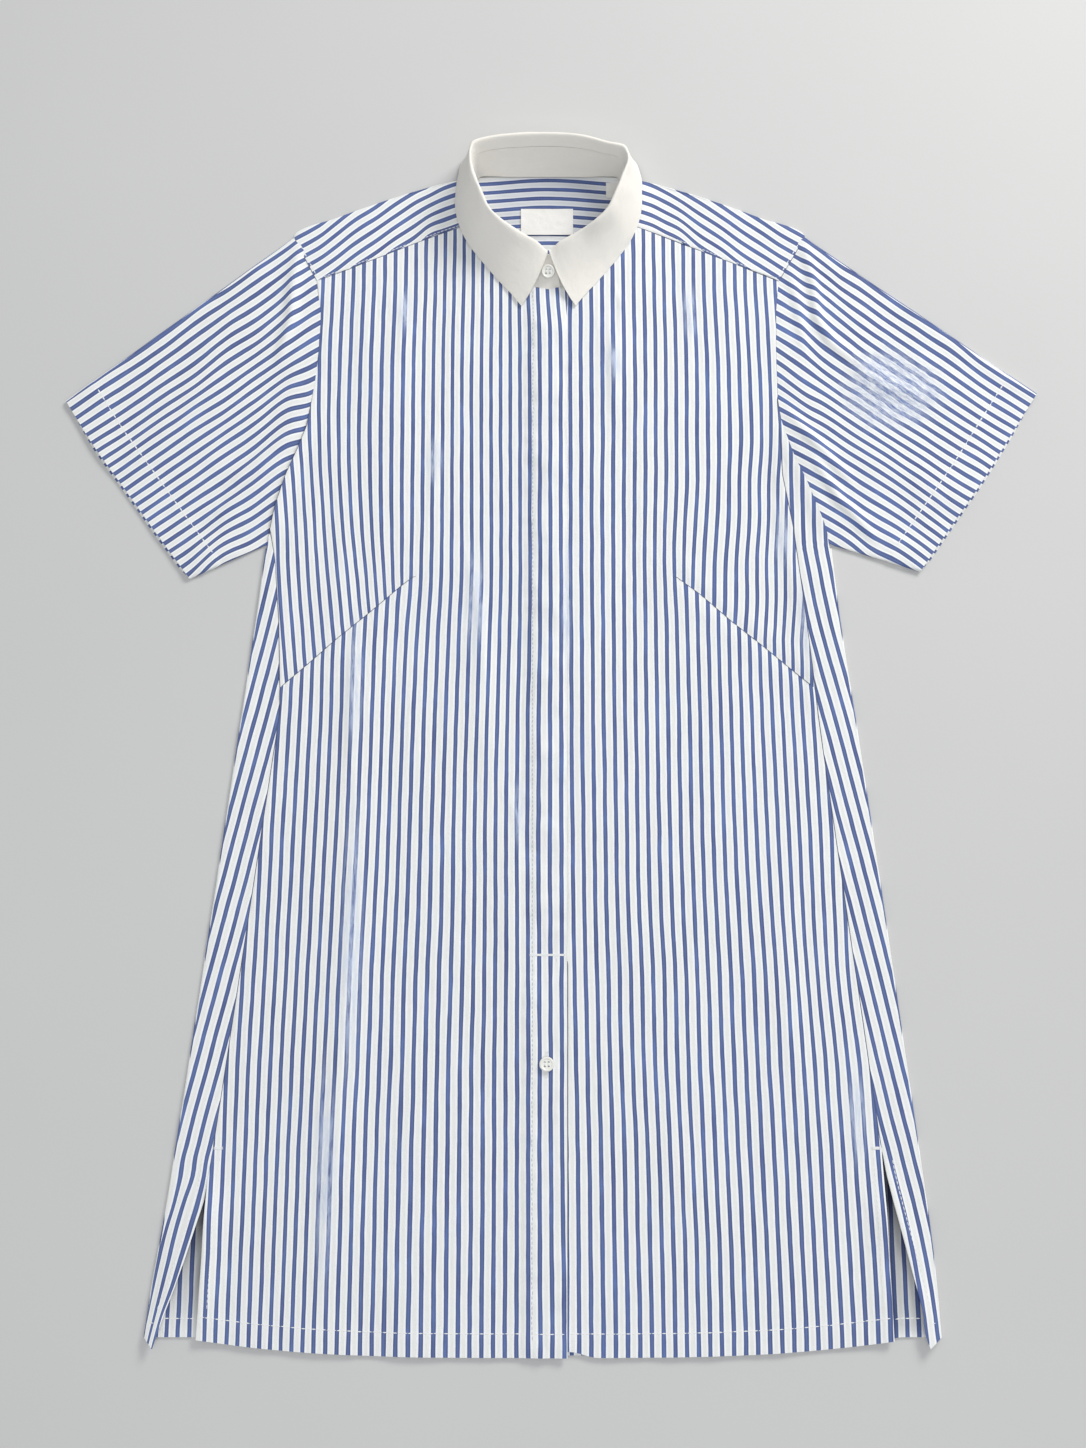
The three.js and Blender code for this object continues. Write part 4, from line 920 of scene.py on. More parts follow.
def make_front(s, name, inner, nodes):
    columns = [((abs(float(arm_x(s, r[3] - SEAM))) if i == 0 else r[2]), r[3] - SEAM) for i, r in enumerate(SHOULDERS)]
    columns += [neck_edge(g, NECK_GAP) for g in NECK_G]
    outer = len(columns)
    first = float(seam_x(s, 12.6)) - s * SEAM
    knots = [(s * x, y, mix(first, inner[0][1], i / outer)) for i, (x, y) in enumerate(columns)]
    knots += [(top, neck_edge(g_at(top), NECK_GAP)[1], hem) for top, hem in inner]
    knots = np.array(knots)
    # Columns: close together at the edges and evenly spaced between.
    i = []
    for k in range(len(knots) - 1):
        w = max(abs(knots[k + 1, 0] - knots[k, 0]), abs(knots[k + 1, 2] - knots[k, 2]))
        m = max(1, int(round(w / 2.3)))
        i += list(k + np.arange(m) / m)
    i = np.array(i + [len(knots) - 1.0])
    width = abs(knots[1, 0] - knots[0, 0])
    i = np.concatenate([[0, 0.35 / width, 0.9 / width], i[i > 1.6 / width]])
    w_in = abs(knots[-1, 2] - knots[-2, 2])
    end = len(knots) - 1
    i = np.concatenate([i[i < end - 1.4 / w_in], [end - 0.9 / w_in, end - 0.35 / w_in, end]])
    top_x = np.interp(i, np.arange(len(knots)), knots[:, 0])
    top_y = np.interp(i, np.arange(len(knots)), knots[:, 1])
    hem = np.interp(i, np.arange(len(knots)), knots[:, 2])
    y0, y1 = float(hem_y(knots[0, 2])), knots[0, 1]
    t = spacing(830, 2.9)
    ti, ii = np.meshgrid(t, np.arange(len(i)))
    hx, tx, ty = hem[ii], top_x[ii], top_y[ii]
    y = mix(hem_y(hx) + (4.2 * (1 - smooth((hx - 14) / 22)) if s > 0 else 0.0), ty, ti)
    yy = mix(y0, y1, ti)
    edge = np.where(yy < (625 if s < 0 else 736), seam_x(s, yy), arm_x(s, yy)) - s * SEAM
    off = edge - mix(knots[0, 2], knots[0, 0], ti)
    weight = np.maximum(0, 1 - i[ii] / outer) ** 1.4
    x = mix(hx, tx, ti) + weight * off
    z = HIGH + crease_lift(x, y) + front_relief(s, x, y)
    if s < 0:
        up = smooth((x - PLACKET_RAMP) / (PLACKET_STITCH + 1.2 - PLACKET_RAMP))
        z = z + up * (TOP - HIGH)
        lifted = fly_lift(x, y) * smooth((x - PLACKET_STITCH) / 4)
        z = z + lifted
        for k in range(FLY_COUNT):
            by = FLY_FIRST + k * FLY_STEP
            d = np.hypot(x - FLY_X, y - by)
            z = z + 0.5 * smooth((7.2 - d) / 2.4) * (x > PLACKET_STITCH)
            z = z + 0.45 * np.exp(-((y - by - 9) / 3.0) ** 2 - ((x + 1.7) / 9) ** 2) * noise(x / 3.5, y / 9, 46 + k)
        # Stitching draws the cloth in, in short puckers.
        z = z - 0.38 * bump_at(x, PLACKET_STITCH + 1.6, 0.8) + 0.3 * bump_at(x, PLACKET_STITCH - 1.2, 1.3)
        pucker = noise(y / 5.2, np.zeros_like(y), 41) * np.exp(-((x - PLACKET_STITCH - 1) / 5) ** 2)
        pucker2 = noise(y / 7.5, x / 9, 43) * np.exp(-((x - 9) / 7) ** 2)
        z = z + 0.6 * pucker + 0.55 * pucker2 * smooth((x - PLACKET_STITCH) / 5)
        z = z + 0.5 * noise(x / 6.0, y / 16, 48) * smooth((x - PLACKET_STITCH) / 5)
    raised = 0.3 * smooth((hem_y(x) + HEM_STITCH + 1.3 - y) / 1.6)
    raised = raised - 0.14 * bump_at(y, hem_y(x) + HEM_STITCH, 0.5)
    z = z + 0.14 * noise(x / 6.5, y / 40, 44 + s) * np.exp(-((y - hem_y(x) - HEM_STITCH) / 6) ** 2)
    slit = np.abs(x - edge)
    raised = raised + 0.22 * smooth((7.5 - slit) / 1.5) * smooth((SLIT_TOP + 6 - y) / 4)
    # The edge at the side seam and armhole rolls over.
    roll = np.where(np.arange(len(i))[ii] == 0, 0.2, 0.0) + np.where(np.arange(len(i))[ii] == 1, 0.06, 0.0)
    z = z - roll
    # The slit's edge stands up off the back.
    z = z + smooth((SLIT_TOP - 3 - y) / 50) * (0.3 + 0.7 * smooth((y - 12) / 60)) * 4.6 * np.exp(-(slit / 13) ** 2) * (0.8 + 0.4 * noise(y / 33, 0 * y + s, 23))
    # The armhole stands over the sleeve at the underarm.
    z = z + 2.3 * np.exp(-((slit - 1) / 8) ** 2) * smooth((y - 606) / 34) * smooth((742 - y) / 60)
    net = np.stack([x, y, z], 2)
    # Seam allowance below the yoke.
    under = np.clip(1 - np.maximum(0, i - 4.9) / 0.2, 0, 1)
    last = net[:, -1].copy()
    last[:, 1] += 0.6 + (UNDER - 0.6) * under
    last[:, 2] -= 0.75 * under
    net = np.concatenate([net, last[:, None]], 1)
    net[:, -2, 2] -= 0.22
    raised = np.concatenate([raised, raised[:, -1:] * 0], 1)
    x, y = net[..., 0], net[..., 1]
    above, below = front_flow(FRONT_ABOVE, s, x, y), front_flow(FRONT_BELOW, s, x, y)
    # Towards the centre there is no dart, and one run of stripes becomes the other.
    tip = DARTS[side(s)][0]
    cut = smooth((np.abs(x) - tip[0]) / 14)
    even = smooth((y - tip[1] + 45) / 90)
    above, below = (mix(below, above, mix(even, 1.0, cut)), mix(below, above, mix(even, 0.0, cut)))
    maps = {"cloth": np.stack([above, y / PITCH], 2),
            "below": np.stack([below, dart_away(s, x, y) / 10], 2)}
    if s > 0:
        net, raised = net[::-1], raised[::-1]
        maps = {k: v[::-1] for k, v in maps.items()}
    done = place(shell(name, net, maps, raised=raised), STRIPES_DART, "striped_cotton", *nodes)
    return done, raised_net(net, raised)


# ---------------------------------------------------------------------- yoke
def make_yoke():
    neck = 931.4
    cols = []
    for s in (-1, 1):
        part = []
        for k in range(len(SHOULDERS) - 1):
            for f in np.arange(11) / 11:
                part.append((s, k + f))
        part.append((s, 5.0))
        for x in (58, 52, 46, 40, 34, 28, 22, 16, 11, 5):
            part.append((s, 5 + (64.2 - x) / 64.2))
        cols += part if s < 0 else part[::-1]
        if s < 0:
            cols.append((1, 6.0))
    plate, turn, flap = np.linspace(0, 1, 34), np.linspace(0.08, 0.92, 8), spacing(42, 2.4, (0, 0.3, 0.8, 1.4))
    lines, uvs, seam = [], [], []
    edge = lambda s, y: np.abs(arm_x(s, y)) - SEAM
    for s, c in cols:
        sewn = c <= 5.0
        at = lambda col: float(np.interp(min(c, 5.0), np.arange(6), SHOULDERS[:, col]))
        fx = at(0) if sewn else 64.2 * (6 - c)
        fy = (at(1) if sewn else neck + 1.15) - 1.15
        sx, sy = at(2), at(3)
        w = max(0.0, 1 - c)
        # plate, lying on the floor
        y = mix(BACK_YOKE_SEAM + SEAM, fy, plate)
        x = mix(fx * SHOULDERS[0, 2] / SHOULDERS[0, 0], fx, plate)
        x = x + w * (edge(s, y) - mix(SHOULDERS[0, 2], SHOULDERS[0, 0], plate))
        z = np.full_like(y, LOW + 0.12) + 0.12 * noise(x / 30 * s, y / 12, 51)
        pts = [np.stack([s * x, y, z], 1)]
        back = np.stack([(y - 1.0 + 4.6 * (1 - np.exp(-(x / 46.0) ** 2))) / 8.0, s * x / PITCH], 1)
        uv = [back]
        # turn over the shoulder
        a = np.pi * turn
        r = FOLD_R
        y = fy + r * 1.4 * np.sin(a)
        x = np.full_like(y, fx) + w * (edge(s, y) - fx)
        lift = 0.4 + 0.3 * noise(np.array([fx / 30.0 * s]), np.array([1.5]), 52)[0]
        z = LOW + 0.12 + (r + lift * 0.5) * (1 - np.cos(a))
        pts.append(np.stack([s * x, y, z], 1))
        y = mix(fy, sy + SEAM, flap)
        x = mix(fx, sx, flap)
        x = x + w * (edge(s, y) - mix(SHOULDERS[0, 0], SHOULDERS[0, 2], flap))
        d = (1 - flap) * abs(fy - sy)
        z = HIGH + 0.12 + lift * np.exp(-((flap * 40 - 4) / 9) ** 2) + 0.45 * waves(s * x, y)
        z = z + 0.16 * noise(s * x / 7, y / 30, 53) * np.exp(-(d / 5) ** 2) - 0.2 * (flap >= 1.0)
        pts.append(np.stack([s * x, y, z], 1))
        p = np.concatenate(pts)
        lines.append(p)
        front = down_flow(YOKES[side(s)], (-2, 1, 4), p[:, 0], p[:, 1])
        n1 = len(plate)
        u = np.concatenate([back[:, 0], front[n1:]])
        v = np.concatenate([back[:, 1], s * p[n1:, 0] / PITCH])
        uvs.append(np.stack([u, v], 1))
        seam.append(sewn)
    net, uv = np.array(lines), np.array(uvs)
    nj = net.shape[1]
    # the patches between the plate's last row and the turn's first one carry
    # the change from the one run of stripes to the other
    seam = np.array(seam)
    has = np.ones((len(cols) - 1, nj - 1), bool)
    has[~(seam[:-1] & seam[1:]), len(plate) - 1:] = False
    # no part of the yoke is raised
    raised = np.zeros(net.shape[:2])
    return place(shell("yoke_cloth", net, {"cloth": uv}, has, raised=raised), STRIPES_YOKE_NECK_SHADE, "striped_cotton", "yoke"), net


# ------------------------------------------------------------------- sleeves
SHOULDER_Y, UNDER_Y = 877.2, UNDERARM + 1.5


def sleeve_point(s, u, f):
    y = mix(SHOULDER_Y, UNDER_Y, f)
    k = 1 if s < 0 else 3
    return (mix(arm_x(s, y) + s * 0.22, read(CUFFS[:, 0], CUFFS[:, k], f), u),
            mix(y, read(CUFFS[:, 0], CUFFS[:, k + 1], f), u))


def cuff_line(s):
    f = np.linspace(0, 1, 13)
    k = 1 if s < 0 else 3
    return list(zip(read(CUFFS[:, 0], CUFFS[:, k], f), read(CUFFS[:, 0], CUFFS[:, k + 1], f)))


SLEEVE_FOLDS = {
    "left": [  # ridges on the upper layer: points, width, height
        ([(-206, 869), (-210, 838), (-211, 806), (-220, 770)], 4.6, 3.2),
        ([(-204, 706), (-226, 690), (-256, 664)], 4.4, 2.8),
        ([(-216, 684), (-240, 660), (-268, 634)], 5.0, 2.6),
        ([(-230, 850), (-262, 800), (-280, 770)], 16.0, 1.1),
        ([(-240, 760), (-300, 712), (-350, 676)], 20.0, 1.2),
        ([(-238, 640), (-262, 618), (-290, 600)], 9.0, 1.2)],
    "right": [
        ([(211, 872), (218, 838), (220, 806), (231, 784), (250, 768)], 4.4, 3.6),
        ([(199, 850), (206, 812), (208, 776)], 4.4, 2.0),
        ([(196, 722), (216, 698), (244, 664)], 4.6, 3.0),
        ([(246, 770), (272, 748), (306, 738)], 8.0, 2.4),
        ([(212, 690), (234, 650), (262, 616)], 4.8, 3.0),
        ([(250, 700), (300, 668), (352, 640)], 20.0, 1.3),
        ([(248, 640), (276, 614), (304, 602)], 10.0, 1.2)]}


def make_sleeve(s, name, node):
    shares = spacing(262, 2.6)
    along = spacing(225, 2.6)
    turn = np.linspace(0.1, 0.9, 7)
    fs, layers, angles = [], [], []
    for f in shares:
        fs.append(f), layers.append("up"), angles.append(0.0)
    for a in turn:
        fs.append(1.0), layers.append("under"), angles.append(math.pi * a)
    for f in shares[::-1]:
        fs.append(f), layers.append("low"), angles.append(math.pi)
    for a in turn:
        fs.append(0.0), layers.append("shoulder"), angles.append(math.pi * a)
    lines, uvs, raised = [], [], []
    for f, layer, angle in zip(fs, layers, angles):
        # the folds are rounded, so the layers stop short of them
        inset = 1.15
        x, y = sleeve_point(s, along, f)
        x1, y1 = sleeve_point(s, along, 0.02 if f < 0.5 else 0.98)
        l = np.hypot(x1 - x, y1 - y)
        near = 1.0 if f in (0.0, 1.0) else 0.0
        dx, dy = (x - x1) / l, (y - y1) / l
        span = min(f, 1 - f) * 262
        pull = inset * max(0.0, 1 - span / 3.0)
        px, py = x - dx * pull, y - dy * pull
        fold_side = 1.0
        if layer in ("under", "shoulder"):
            out = FOLD_R * 1.4 * math.sin(angle)
            px, py = px + dx * out, py + dy * out
        puffed = 0.6 * np.exp(-((span - 6) / 7) ** 2) * (0.8 + 0.5 * noise(along * 5 + 3 * s, np.full_like(along, f), 61))
        upper = HIGH + 0.7 * waves(px, py) + puffed
        for pts, wide, high in SLEEVE_FOLDS[side(s)]:
            upper = upper + path_ridge(px, py, pts, wide, high)
        upper = upper + 0.35 * noise(px / 26, py / 20, 62)
        # beside the bodice the sleeve dips below its seam
        d_arm = np.abs(px - arm_x(s, py))
        upper = upper - (0.30 + 0.6 * float(smooth((f - 0.5) / 0.2))) * np.exp(-(d_arm / (2.2 + 6 * f)) ** 2)
        upper = np.maximum(upper, LOW + 1.05)
        lower = LOW + 0.12 + 0.1 * noise(px / 40, py / 40, 63)
        if layer == "up":
            z = upper
        elif layer == "low":
            z = lower
        else:
            w = 0.5 + 0.5 * math.cos(angle) if layer == "under" else 0.5 - 0.5 * math.cos(angle)
            z = mix(lower, upper, w)
        # the hem is turned under twice
        from_cuff = path_distance(px, py, cuff_line(s))
        r = 0.3 * smooth((SLEEVE_HEM + 1 - from_cuff) / 1.6) - 0.14 * bump_at(from_cuff, SLEEVE_HEM, 0.6)
        z = z + 0.16 * noise(np.full_like(along, f * 42), along, 64 + s) * np.exp(-((from_cuff - SLEEVE_HEM) / 6) ** 2) * (layer == "up")
        if layer == "low":
            reach = 1.7 * smooth(f / 0.3) * smooth((1 - f) / 0.08) * smooth((along - 0.7) / 0.3)
            run_ = np.hypot(x[-1] - x[0], y[-1] - y[0])
            px = px + reach * (x[-1] - x[0]) / run_
            py = py + reach * (y[-1] - y[0]) / run_
        if layer == "up":
            # allowance below the bodice
            px = np.concatenate([[px[0] - s * UNDER], px])
            py = np.concatenate([[py[0]], py])
            z = np.concatenate([[z[0] - 0.45], z])
        else:
            px, py, z = np.concatenate([[px[0]], px]), np.concatenate([[py[0]], py]), np.concatenate([[z[0]], z])
            px[0] -= s * 0.05
        r = np.concatenate([[0.0], r])
        line = np.stack([px, py, z], 1)
        lines.append(line)
        u = down_flow(SLEEVES[side(s)], (1, 5, 9, 13, 17, 21), px, py)
        u = u + 0.42 * (0.5 - 0.5 * math.cos(angle) if layer in ("up", "under", "shoulder") else 1.0)
        uvs.append(np.stack([u, np.abs(px) / PITCH * 1.28], 1))
        raised.append(r)
    net, uv, raised = np.array(lines), np.array(uvs), np.array(raised)
    if s < 0:
        net, uv, raised = net[::-1], uv[::-1], raised[::-1]
    top_only = np.array([l == "up" for l in layers])[::-1 if s < 0 else 1]
    done = place(shell(name, net, {"cloth": uv}, ring=True, raised=raised),
                 STRIPES_WORN if s > 0 else STRIPES, "striped_cotton", node)
    return done, raised_net(net, raised)[top_only]


# -------------------------------------------------------------------- collar
LAP_LIFT, LAP_FADE, LAP = 1.4, 2.4, 0.6


def collar_frame(q):
    s = -1 if q < 0 else 1
    r = collar_row(LAST - abs(q))
    m = np.array([s, 1, 1.0])
    return r, r[0:3] * m, r[3:6] * m, r[6:9] * m


def unit(v):
    return v / np.linalg.norm(v)


def collar_axes(q):
    _, an, af, _ = collar_frame(q - 0.05)
    _, bn, bf, _ = collar_frame(q + 0.05)
    _, n, f, _ = collar_frame(q)
    along = bn + bf - an - af
    up = f - n
    return unit(up), -unit(np.cross(along, up)), np.linalg.norm(up)


def lap_lift(q):
    return LAP_LIFT * (1 - float(smooth((LAST + q) / LAP_FADE))) if q < 0 else 0.0


def leaned(p):
    """The standing collar leans a little to the front behind, more so on one
    side, and its leaf is drawn in beside the neck."""
    p = p.copy()
    x, y, z = p[..., 0], p[..., 1], p[..., 2]
    up = clamp(z / 27.0, 0, 1.15)
    p[..., 1] = y - up * (2.0 * smooth((y - 925) / 20) + 4.6 * np.exp(-((x - 50) / 22) ** 2) * smooth((y - 915) / 22))
    p[..., 0] = x + 3.0 * np.exp(-((y - 934) / 14) ** 2) * smooth((-x - 60) / 10) \
        - 1.5 * np.exp(-((y - 938) / 12) ** 2) * smooth((x - 60) / 10)
    return p


def make_stand():
    reach = LAST + LAP
    q = np.linspace(-reach, reach, 260)
    ks = spacing(30, 1.6)
    lines, uvs = [], []
    for t in q:
        r, n, f, _ = collar_frame(t)
        up, out, tall = collar_axes(t)
        end = 1 - (r[9] + 0.12) / tall
        lift = lap_lift(t)
        p = n[None] + (f - n)[None] * (ks * end)[:, None] + out[None] * (lift + 0.25 * np.sin(np.pi * ks))[:, None]
        p = p - up[None] * (0.5 * (1 - ks) ** 3)[:, None]
        w = 0.16 * noise(np.full_like(ks, t * 3.1), ks * 2, 71) * np.sin(np.pi * ks)
        lines.append(leaned(p + out[None] * w[:, None]))
        uvs.append(np.stack([ks * tall / PITCH, np.full_like(ks, t * 12.0 / PITCH)], 1))
    return place(shell("collar_stand_cloth", np.array(lines), {"cloth": np.array(uvs)}, thick=0.9),
                 COLLAR_WHITE, "collar_cotton", "collar_stand")


def make_fall():
    q = np.concatenate([[-LAST, -LAST + 0.03, -LAST + 0.08], np.linspace(-LAST + 0.14, LAST - 0.14, 252),
                        [LAST - 0.08, LAST - 0.03, LAST]])
    kk = np.concatenate([np.linspace(0.04, 0.90, 30), [0.94, 0.965, 0.985, 1.0]])
    lines, uvs = [], []
    for t in q:
        r, n, f, e = collar_frame(t)
        up, out, tall = collar_axes(t)
        lift = lap_lift(t)
        f = f + out * lift
        ang = np.linspace(0, np.pi, 9)
        base = [f + up * v for v in np.linspace(0.12 - r[9], -0.4, 6)]
        arc = [f + out * ROLL_R * (1 - math.cos(a)) + up * ROLL_R * math.sin(a) for a in ang]
        start = f + out * 2 * ROLL_R
        away = unit(np.array([out[0], out[1], 0]))
        pull = r[11]
        lay = np.array([mix(start[0], e[0], pull), mix(start[1], e[1], 0.6), mix(start[2], e[2], 0.22 + 0.67 * pull)]) \
            + away * 4 * (pull - 0.2)
        drop = np.array([start[0], start[1], e[2]]) + away * 5
        middle = mix(lay, drop, float(clamp(r[10])))
        leaf = [start * (1 - k) ** 2 + middle * 2 * k * (1 - k) + e * k * k for k in kk]
        p = np.array(base + arc + leaf)
        for _ in range(5):
            p[3:-4] = (p[2:-5] + 2 * p[3:-4] + p[4:-3]) / 4
        lines.append(p)
        run = np.concatenate([[0], np.cumsum(np.linalg.norm(np.diff(p, axis=0), axis=1))])
        uvs.append(np.stack([run / PITCH, np.full(len(p), t * 12.0 / PITCH)], 1))
    net = np.array(lines)
    uv = np.array(uvs)
    # puckers, and waves in the leaf
    gi, gj = np.meshgrid(np.arange(net.shape[0]), np.arange(net.shape[1]), indexing="ij")
    n = np.cross(np.gradient(net, axis=0), np.gradient(net, axis=1))
    n /= np.maximum(np.linalg.norm(n, axis=2, keepdims=True), 1e-9)
    width = gj / (net.shape[1] - 1)
    top = np.exp(-((width - 0.30) / 0.10) ** 2)
    amount = (1.0 * noise(gi / 8.0, gj / 40.0, 83) * top + 0.22 * noise(gi / 9.0, gj / 16.0, 81) + 0.12 * noise(gi / 3.4, gj / 9.0, 82) * np.exp(-((width - 0.3) / 0.12) ** 2))
    net = leaned(net + n * (amount * np.sin(np.pi * clamp(width * 1.05)) ** 0.5)[..., None])
    return place(shell("collar_fall_cloth", net, {"cloth": uv}, thick=0.9), COLLAR_WHITE, "collar_cotton", "collar_fall"), net


# ------------------------------------------------------------------ stitching
def surface_z(*cloths):
    """The height of the cloth at a place, looking straight down on it."""
    verts, faces = [], []
    for obj in cloths:
        start = len(verts)
        verts += [v.co.copy() for v in obj.data.vertices]
        faces += [[start + v for v in f.vertices] for f in obj.data.polygons]
    tree = BVHTree.FromPolygons(verts, faces)

    def at(x, y):
        for dx, dy in ((0, 0), (0.6, 0), (-0.6, 0), (0, 0.6), (0, -0.6), (1.5, 0), (-1.5, 0), (0, 1.5), (0, -1.5)):
            hit = tree.ray_cast(Vector(((x + dx + SHIFT[0]) / 1000, (y + dy + SHIFT[1]) / 1000, 0.2)), Vector((0, 0, -1)))
            if hit[0] is not None:
                return hit[0].z * 1000
        return HIGH
    return at


def along_line(points, pitch):
    pts = np.array(points, float)
    run = np.concatenate([[0], np.cumsum(np.hypot(*(pts[1:, :2] - pts[:-1, :2]).T))])
    n = max(1, int(run[-1] / pitch))
    for k in range(n):
        a, b = (k + 0.07) * pitch, (k + 0.93) * pitch
        yield [tuple(np.interp(v, run, pts[:, c]) for c in (0, 1)) for v in (a, (a + b) / 2, b)]


def stitches(points, height, pitch=3.0, radius=0.2, lift=0.06, jitter=0.0, seed=0):
    rnd = np.random.RandomState(seed + 100)
    pitch, radius = pitch * 1.2, radius * 2.3
    runs = []
    for three in along_line(points, pitch):
        j = rnd.randn(2) * jitter
        z = [height(x, y) for x, y in three]
        m = max(z)
        runs.append(([(x + j[0], y + j[1], (zz if k == 1 else min(zz, m) - 0.1) + lift)
                      for k, ((x, y), zz) in enumerate(zip(three, z))], radius))
    return runs


# -------------------------------------------------------------------- making
back, net_back = make_back()
place(back, STRIPES_BACK, "striped_cotton", "back_panel")
front_r, net_fr = make_front(-1, "front_right_cloth", [
    (PLACKET_RAMP, PLACKET_RAMP), (PLACKET_STITCH, PLACKET_STITCH), (-9.5, -9.5), (FLY_X, FLY_X), (6.5, 6.0),
    (PLACKET_EDGE_TOP, PLACKET_EDGE_HEM)], ["front_right"])
front_l, net_fl = make_front(1, "front_left_cloth", [(22, 22), (5, 5), (UNDER_EDGE, UNDER_EDGE)], ["front_left"])
yoke, net_yoke = make_yoke()
sleeve_r, net_sr = make_sleeve(-1, "sleeve_right_cloth", "sleeve_right")
sleeve_l, net_sl = make_sleeve(1, "sleeve_left_cloth", "sleeve_left")
stand = make_stand()
fall, net_fall = make_fall()

# ------------------------------------------------------------ label and tab
def make_slip(name, node, x0, y0, w, h, rise, crumple, curl):
    ax, ay = spacing(w, 0.8, (0, 0.2, 0.5)), spacing(h, 0.8, (0, 0.2, 0.5))
    fx, fy = np.meshgrid(ax, ay, indexing="ij")
    z = rise + crumple * noise(fx * w / 5.0 + x0, fy * h / 4.0, 91) + curl * (1 - fy) ** 4 \
        + 0.4 * curl * np.abs(2 * fx - 1) ** 6
    net = np.stack([x0 + (fx - 0.5) * w, y0 + (fy - 0.5) * h, z], 2)
    uv = np.stack([fx * w / PITCH, fy * h / PITCH], 2)
    return place(shell(name, net, {"cloth": uv}, thick=0.35), LABEL_WHITE, "woven_label", node), net


label, net_label = make_slip("neck_label_cloth", "neck_label", -1.2, 891.5, 43.3, 23.3, 1.25, 0.14, 0.35)
tab, net_tab = make_slip("size_tab_cloth", "size_tab", 54.3, 919.8, 12.6, 13.4, 1.7, 0.75, 0.3)

# ----------------------------------------------------------------- the sewing
on_right, on_left, on_yoke = surface_z(front_r), surface_z(front_l), surface_z(yoke)
on_sleeves = {-1: surface_z(sleeve_r), 1: surface_z(sleeve_l)}
on_back = surface_z(back)


def hem_run(x0, x1, up=HEM_STITCH):
    xs = np.linspace(x0, x1, 60)
    return list(zip(xs, hem_y(xs) + up))


sewn = []
placket_sewn = stitches([(-12.6, 12), (-12.6, 285), (-12.6, 833)], on_right, 2.9, 0.17, jitter=0.12, seed=1)
sewn += stitches(hem_run(-255, -21), on_right, 3.1, 0.19, jitter=0.06, seed=2)
sewn += stitches(hem_run(-11, 12), on_right, 3.1, 0.19, jitter=0.06, seed=3)
sewn += stitches(hem_run(15, 250), on_left, 3.1, 0.19, jitter=0.06, seed=4)
for s in (-1, 1):
    k = 1 if s < 0 else 3
    f = np.linspace(0.03, 0.97, 20)
    edge = np.stack([read(CUFFS[:, 0], CUFFS[:, k], f), read(CUFFS[:, 0], CUFFS[:, k + 1], f)], 1)
    d = np.gradient(edge, axis=0)
    d /= np.linalg.norm(d, axis=1, keepdims=True)
    inward = edge + SLEEVE_HEM * np.stack([-s * np.abs(d[:, 1]), np.abs(d[:, 0])], 1)
    sewn += stitches(inward, on_sleeves[s], 3.0, 0.27, jitter=0.05, seed=5 + s)
    # yoke seam, topstitched just above it, and the armhole's end on the yoke
    line = [(s * (r[2] + 0.2), r[3] + 1.5) for r in SHOULDERS][::-1]
    sewn += stitches(line, on_yoke, 2.8, 0.15, jitter=0.04, seed=8 + s)
    ys = np.linspace(842, 874, 12)
    sewn += stitches([(float(arm_x(s, y)) - s * 2.0, y) for y in ys], on_yoke, 2.8, 0.2, seed=11 + s)
    # back strip: hem and slit edge
    top = np.linspace(34, SLIT_TOP - 4, 30)
    sewn += stitches([(float(wrap_x(s, y)) + s * 6.4, y) for y in top], on_back, 3.1, 0.17, seed=14 + s)
    sewn += stitches([(x, 24.5) for x in np.linspace(float(wrap_x(s, 24)) + s * 5, float(fold_x(s, 24)) - s * 2, 8)],
                     on_back, 3.1, 0.18, seed=17 + s)
    xs = np.linspace(float(wrap_x(s, 24)) - s * 1.5, float(seam_x(s, 20)) + s * 1.0, 14)
    sewn += stitches(list(zip(xs, hem_y(xs) + BACK_HEM_UP + 13.0)), on_back, 3.1, 0.19, jitter=0.05, seed=23 + s)
    on_front = on_right if s < 0 else on_left
    inner = [(float(seam_x(s, y)) - s * 6.4, y) for y in top]
    sewn += stitches(inner, on_front, 3.1, 0.16, seed=20 + s)
    # bartack where the slit ends
    x0 = float(seam_x(s, SLIT_TOP)) - s * 0.6
    for k in range(5):
        y = SLIT_TOP + 1.5 + 0.42 * (k - 2)
        x1 = x0 - s * (7.2 - 0.3 * (k % 2))
        sewn.append(([(x, y, on_front(x, y) + 0.12) for x in np.linspace(x0, x1, 5)], 0.24))
# bartack across the placket, with the thread's loose end below it
for k in range(4):
    y = 289.6 + 0.4 * (k - 1.5)
    xs = np.linspace(-15.0 + 0.25 * (k % 2), 12.4 - 0.2 * (k % 3), 24)
    sewn.append(([(x, y + 0.1 * math.sin(2.2 * x + k), on_right(x, y) + 0.14) for x in xs], 0.22))
t = np.linspace(0, 1, 22)
lx, ly = 4.0 + 4.6 * t + 0.8 * np.sin(2 * np.pi * t), 289.0 - 3.6 * np.sin(np.pi * t) - 0.7 * t
sewn.append(([(x, y, on_right(x, y) + 0.25) for x, y in zip(lx, ly)], 0.16))
# buttonhole that shows above and below the hem button
bx, by = HEM_BUTTON
for dy in np.arange(4.4, 8.6, 0.36):
    for up in (-1, 1):
        for x0, x1 in ((-1.25, -0.12), (0.12, 1.25)):
            y = by + up * dy
            sewn.append(([(bx + x0, y, on_right(bx, y) + 0.05), (bx + (x0 + x1) / 2, y, on_right(bx, y) + 0.2),
                          (bx + x1, y, on_right(bx, y) + 0.05)], 0.2))
for up in (-1, 1):
    for k in range(4):
        y = by + up * (8.7 + 0.3 * k)
        sewn.append(([(bx - 1.3, y, on_right(bx, y) + 0.1), (bx, y, on_right(bx, y) + 0.25),
                      (bx + 1.3, y, on_right(bx, y) + 0.1)], 0.2))
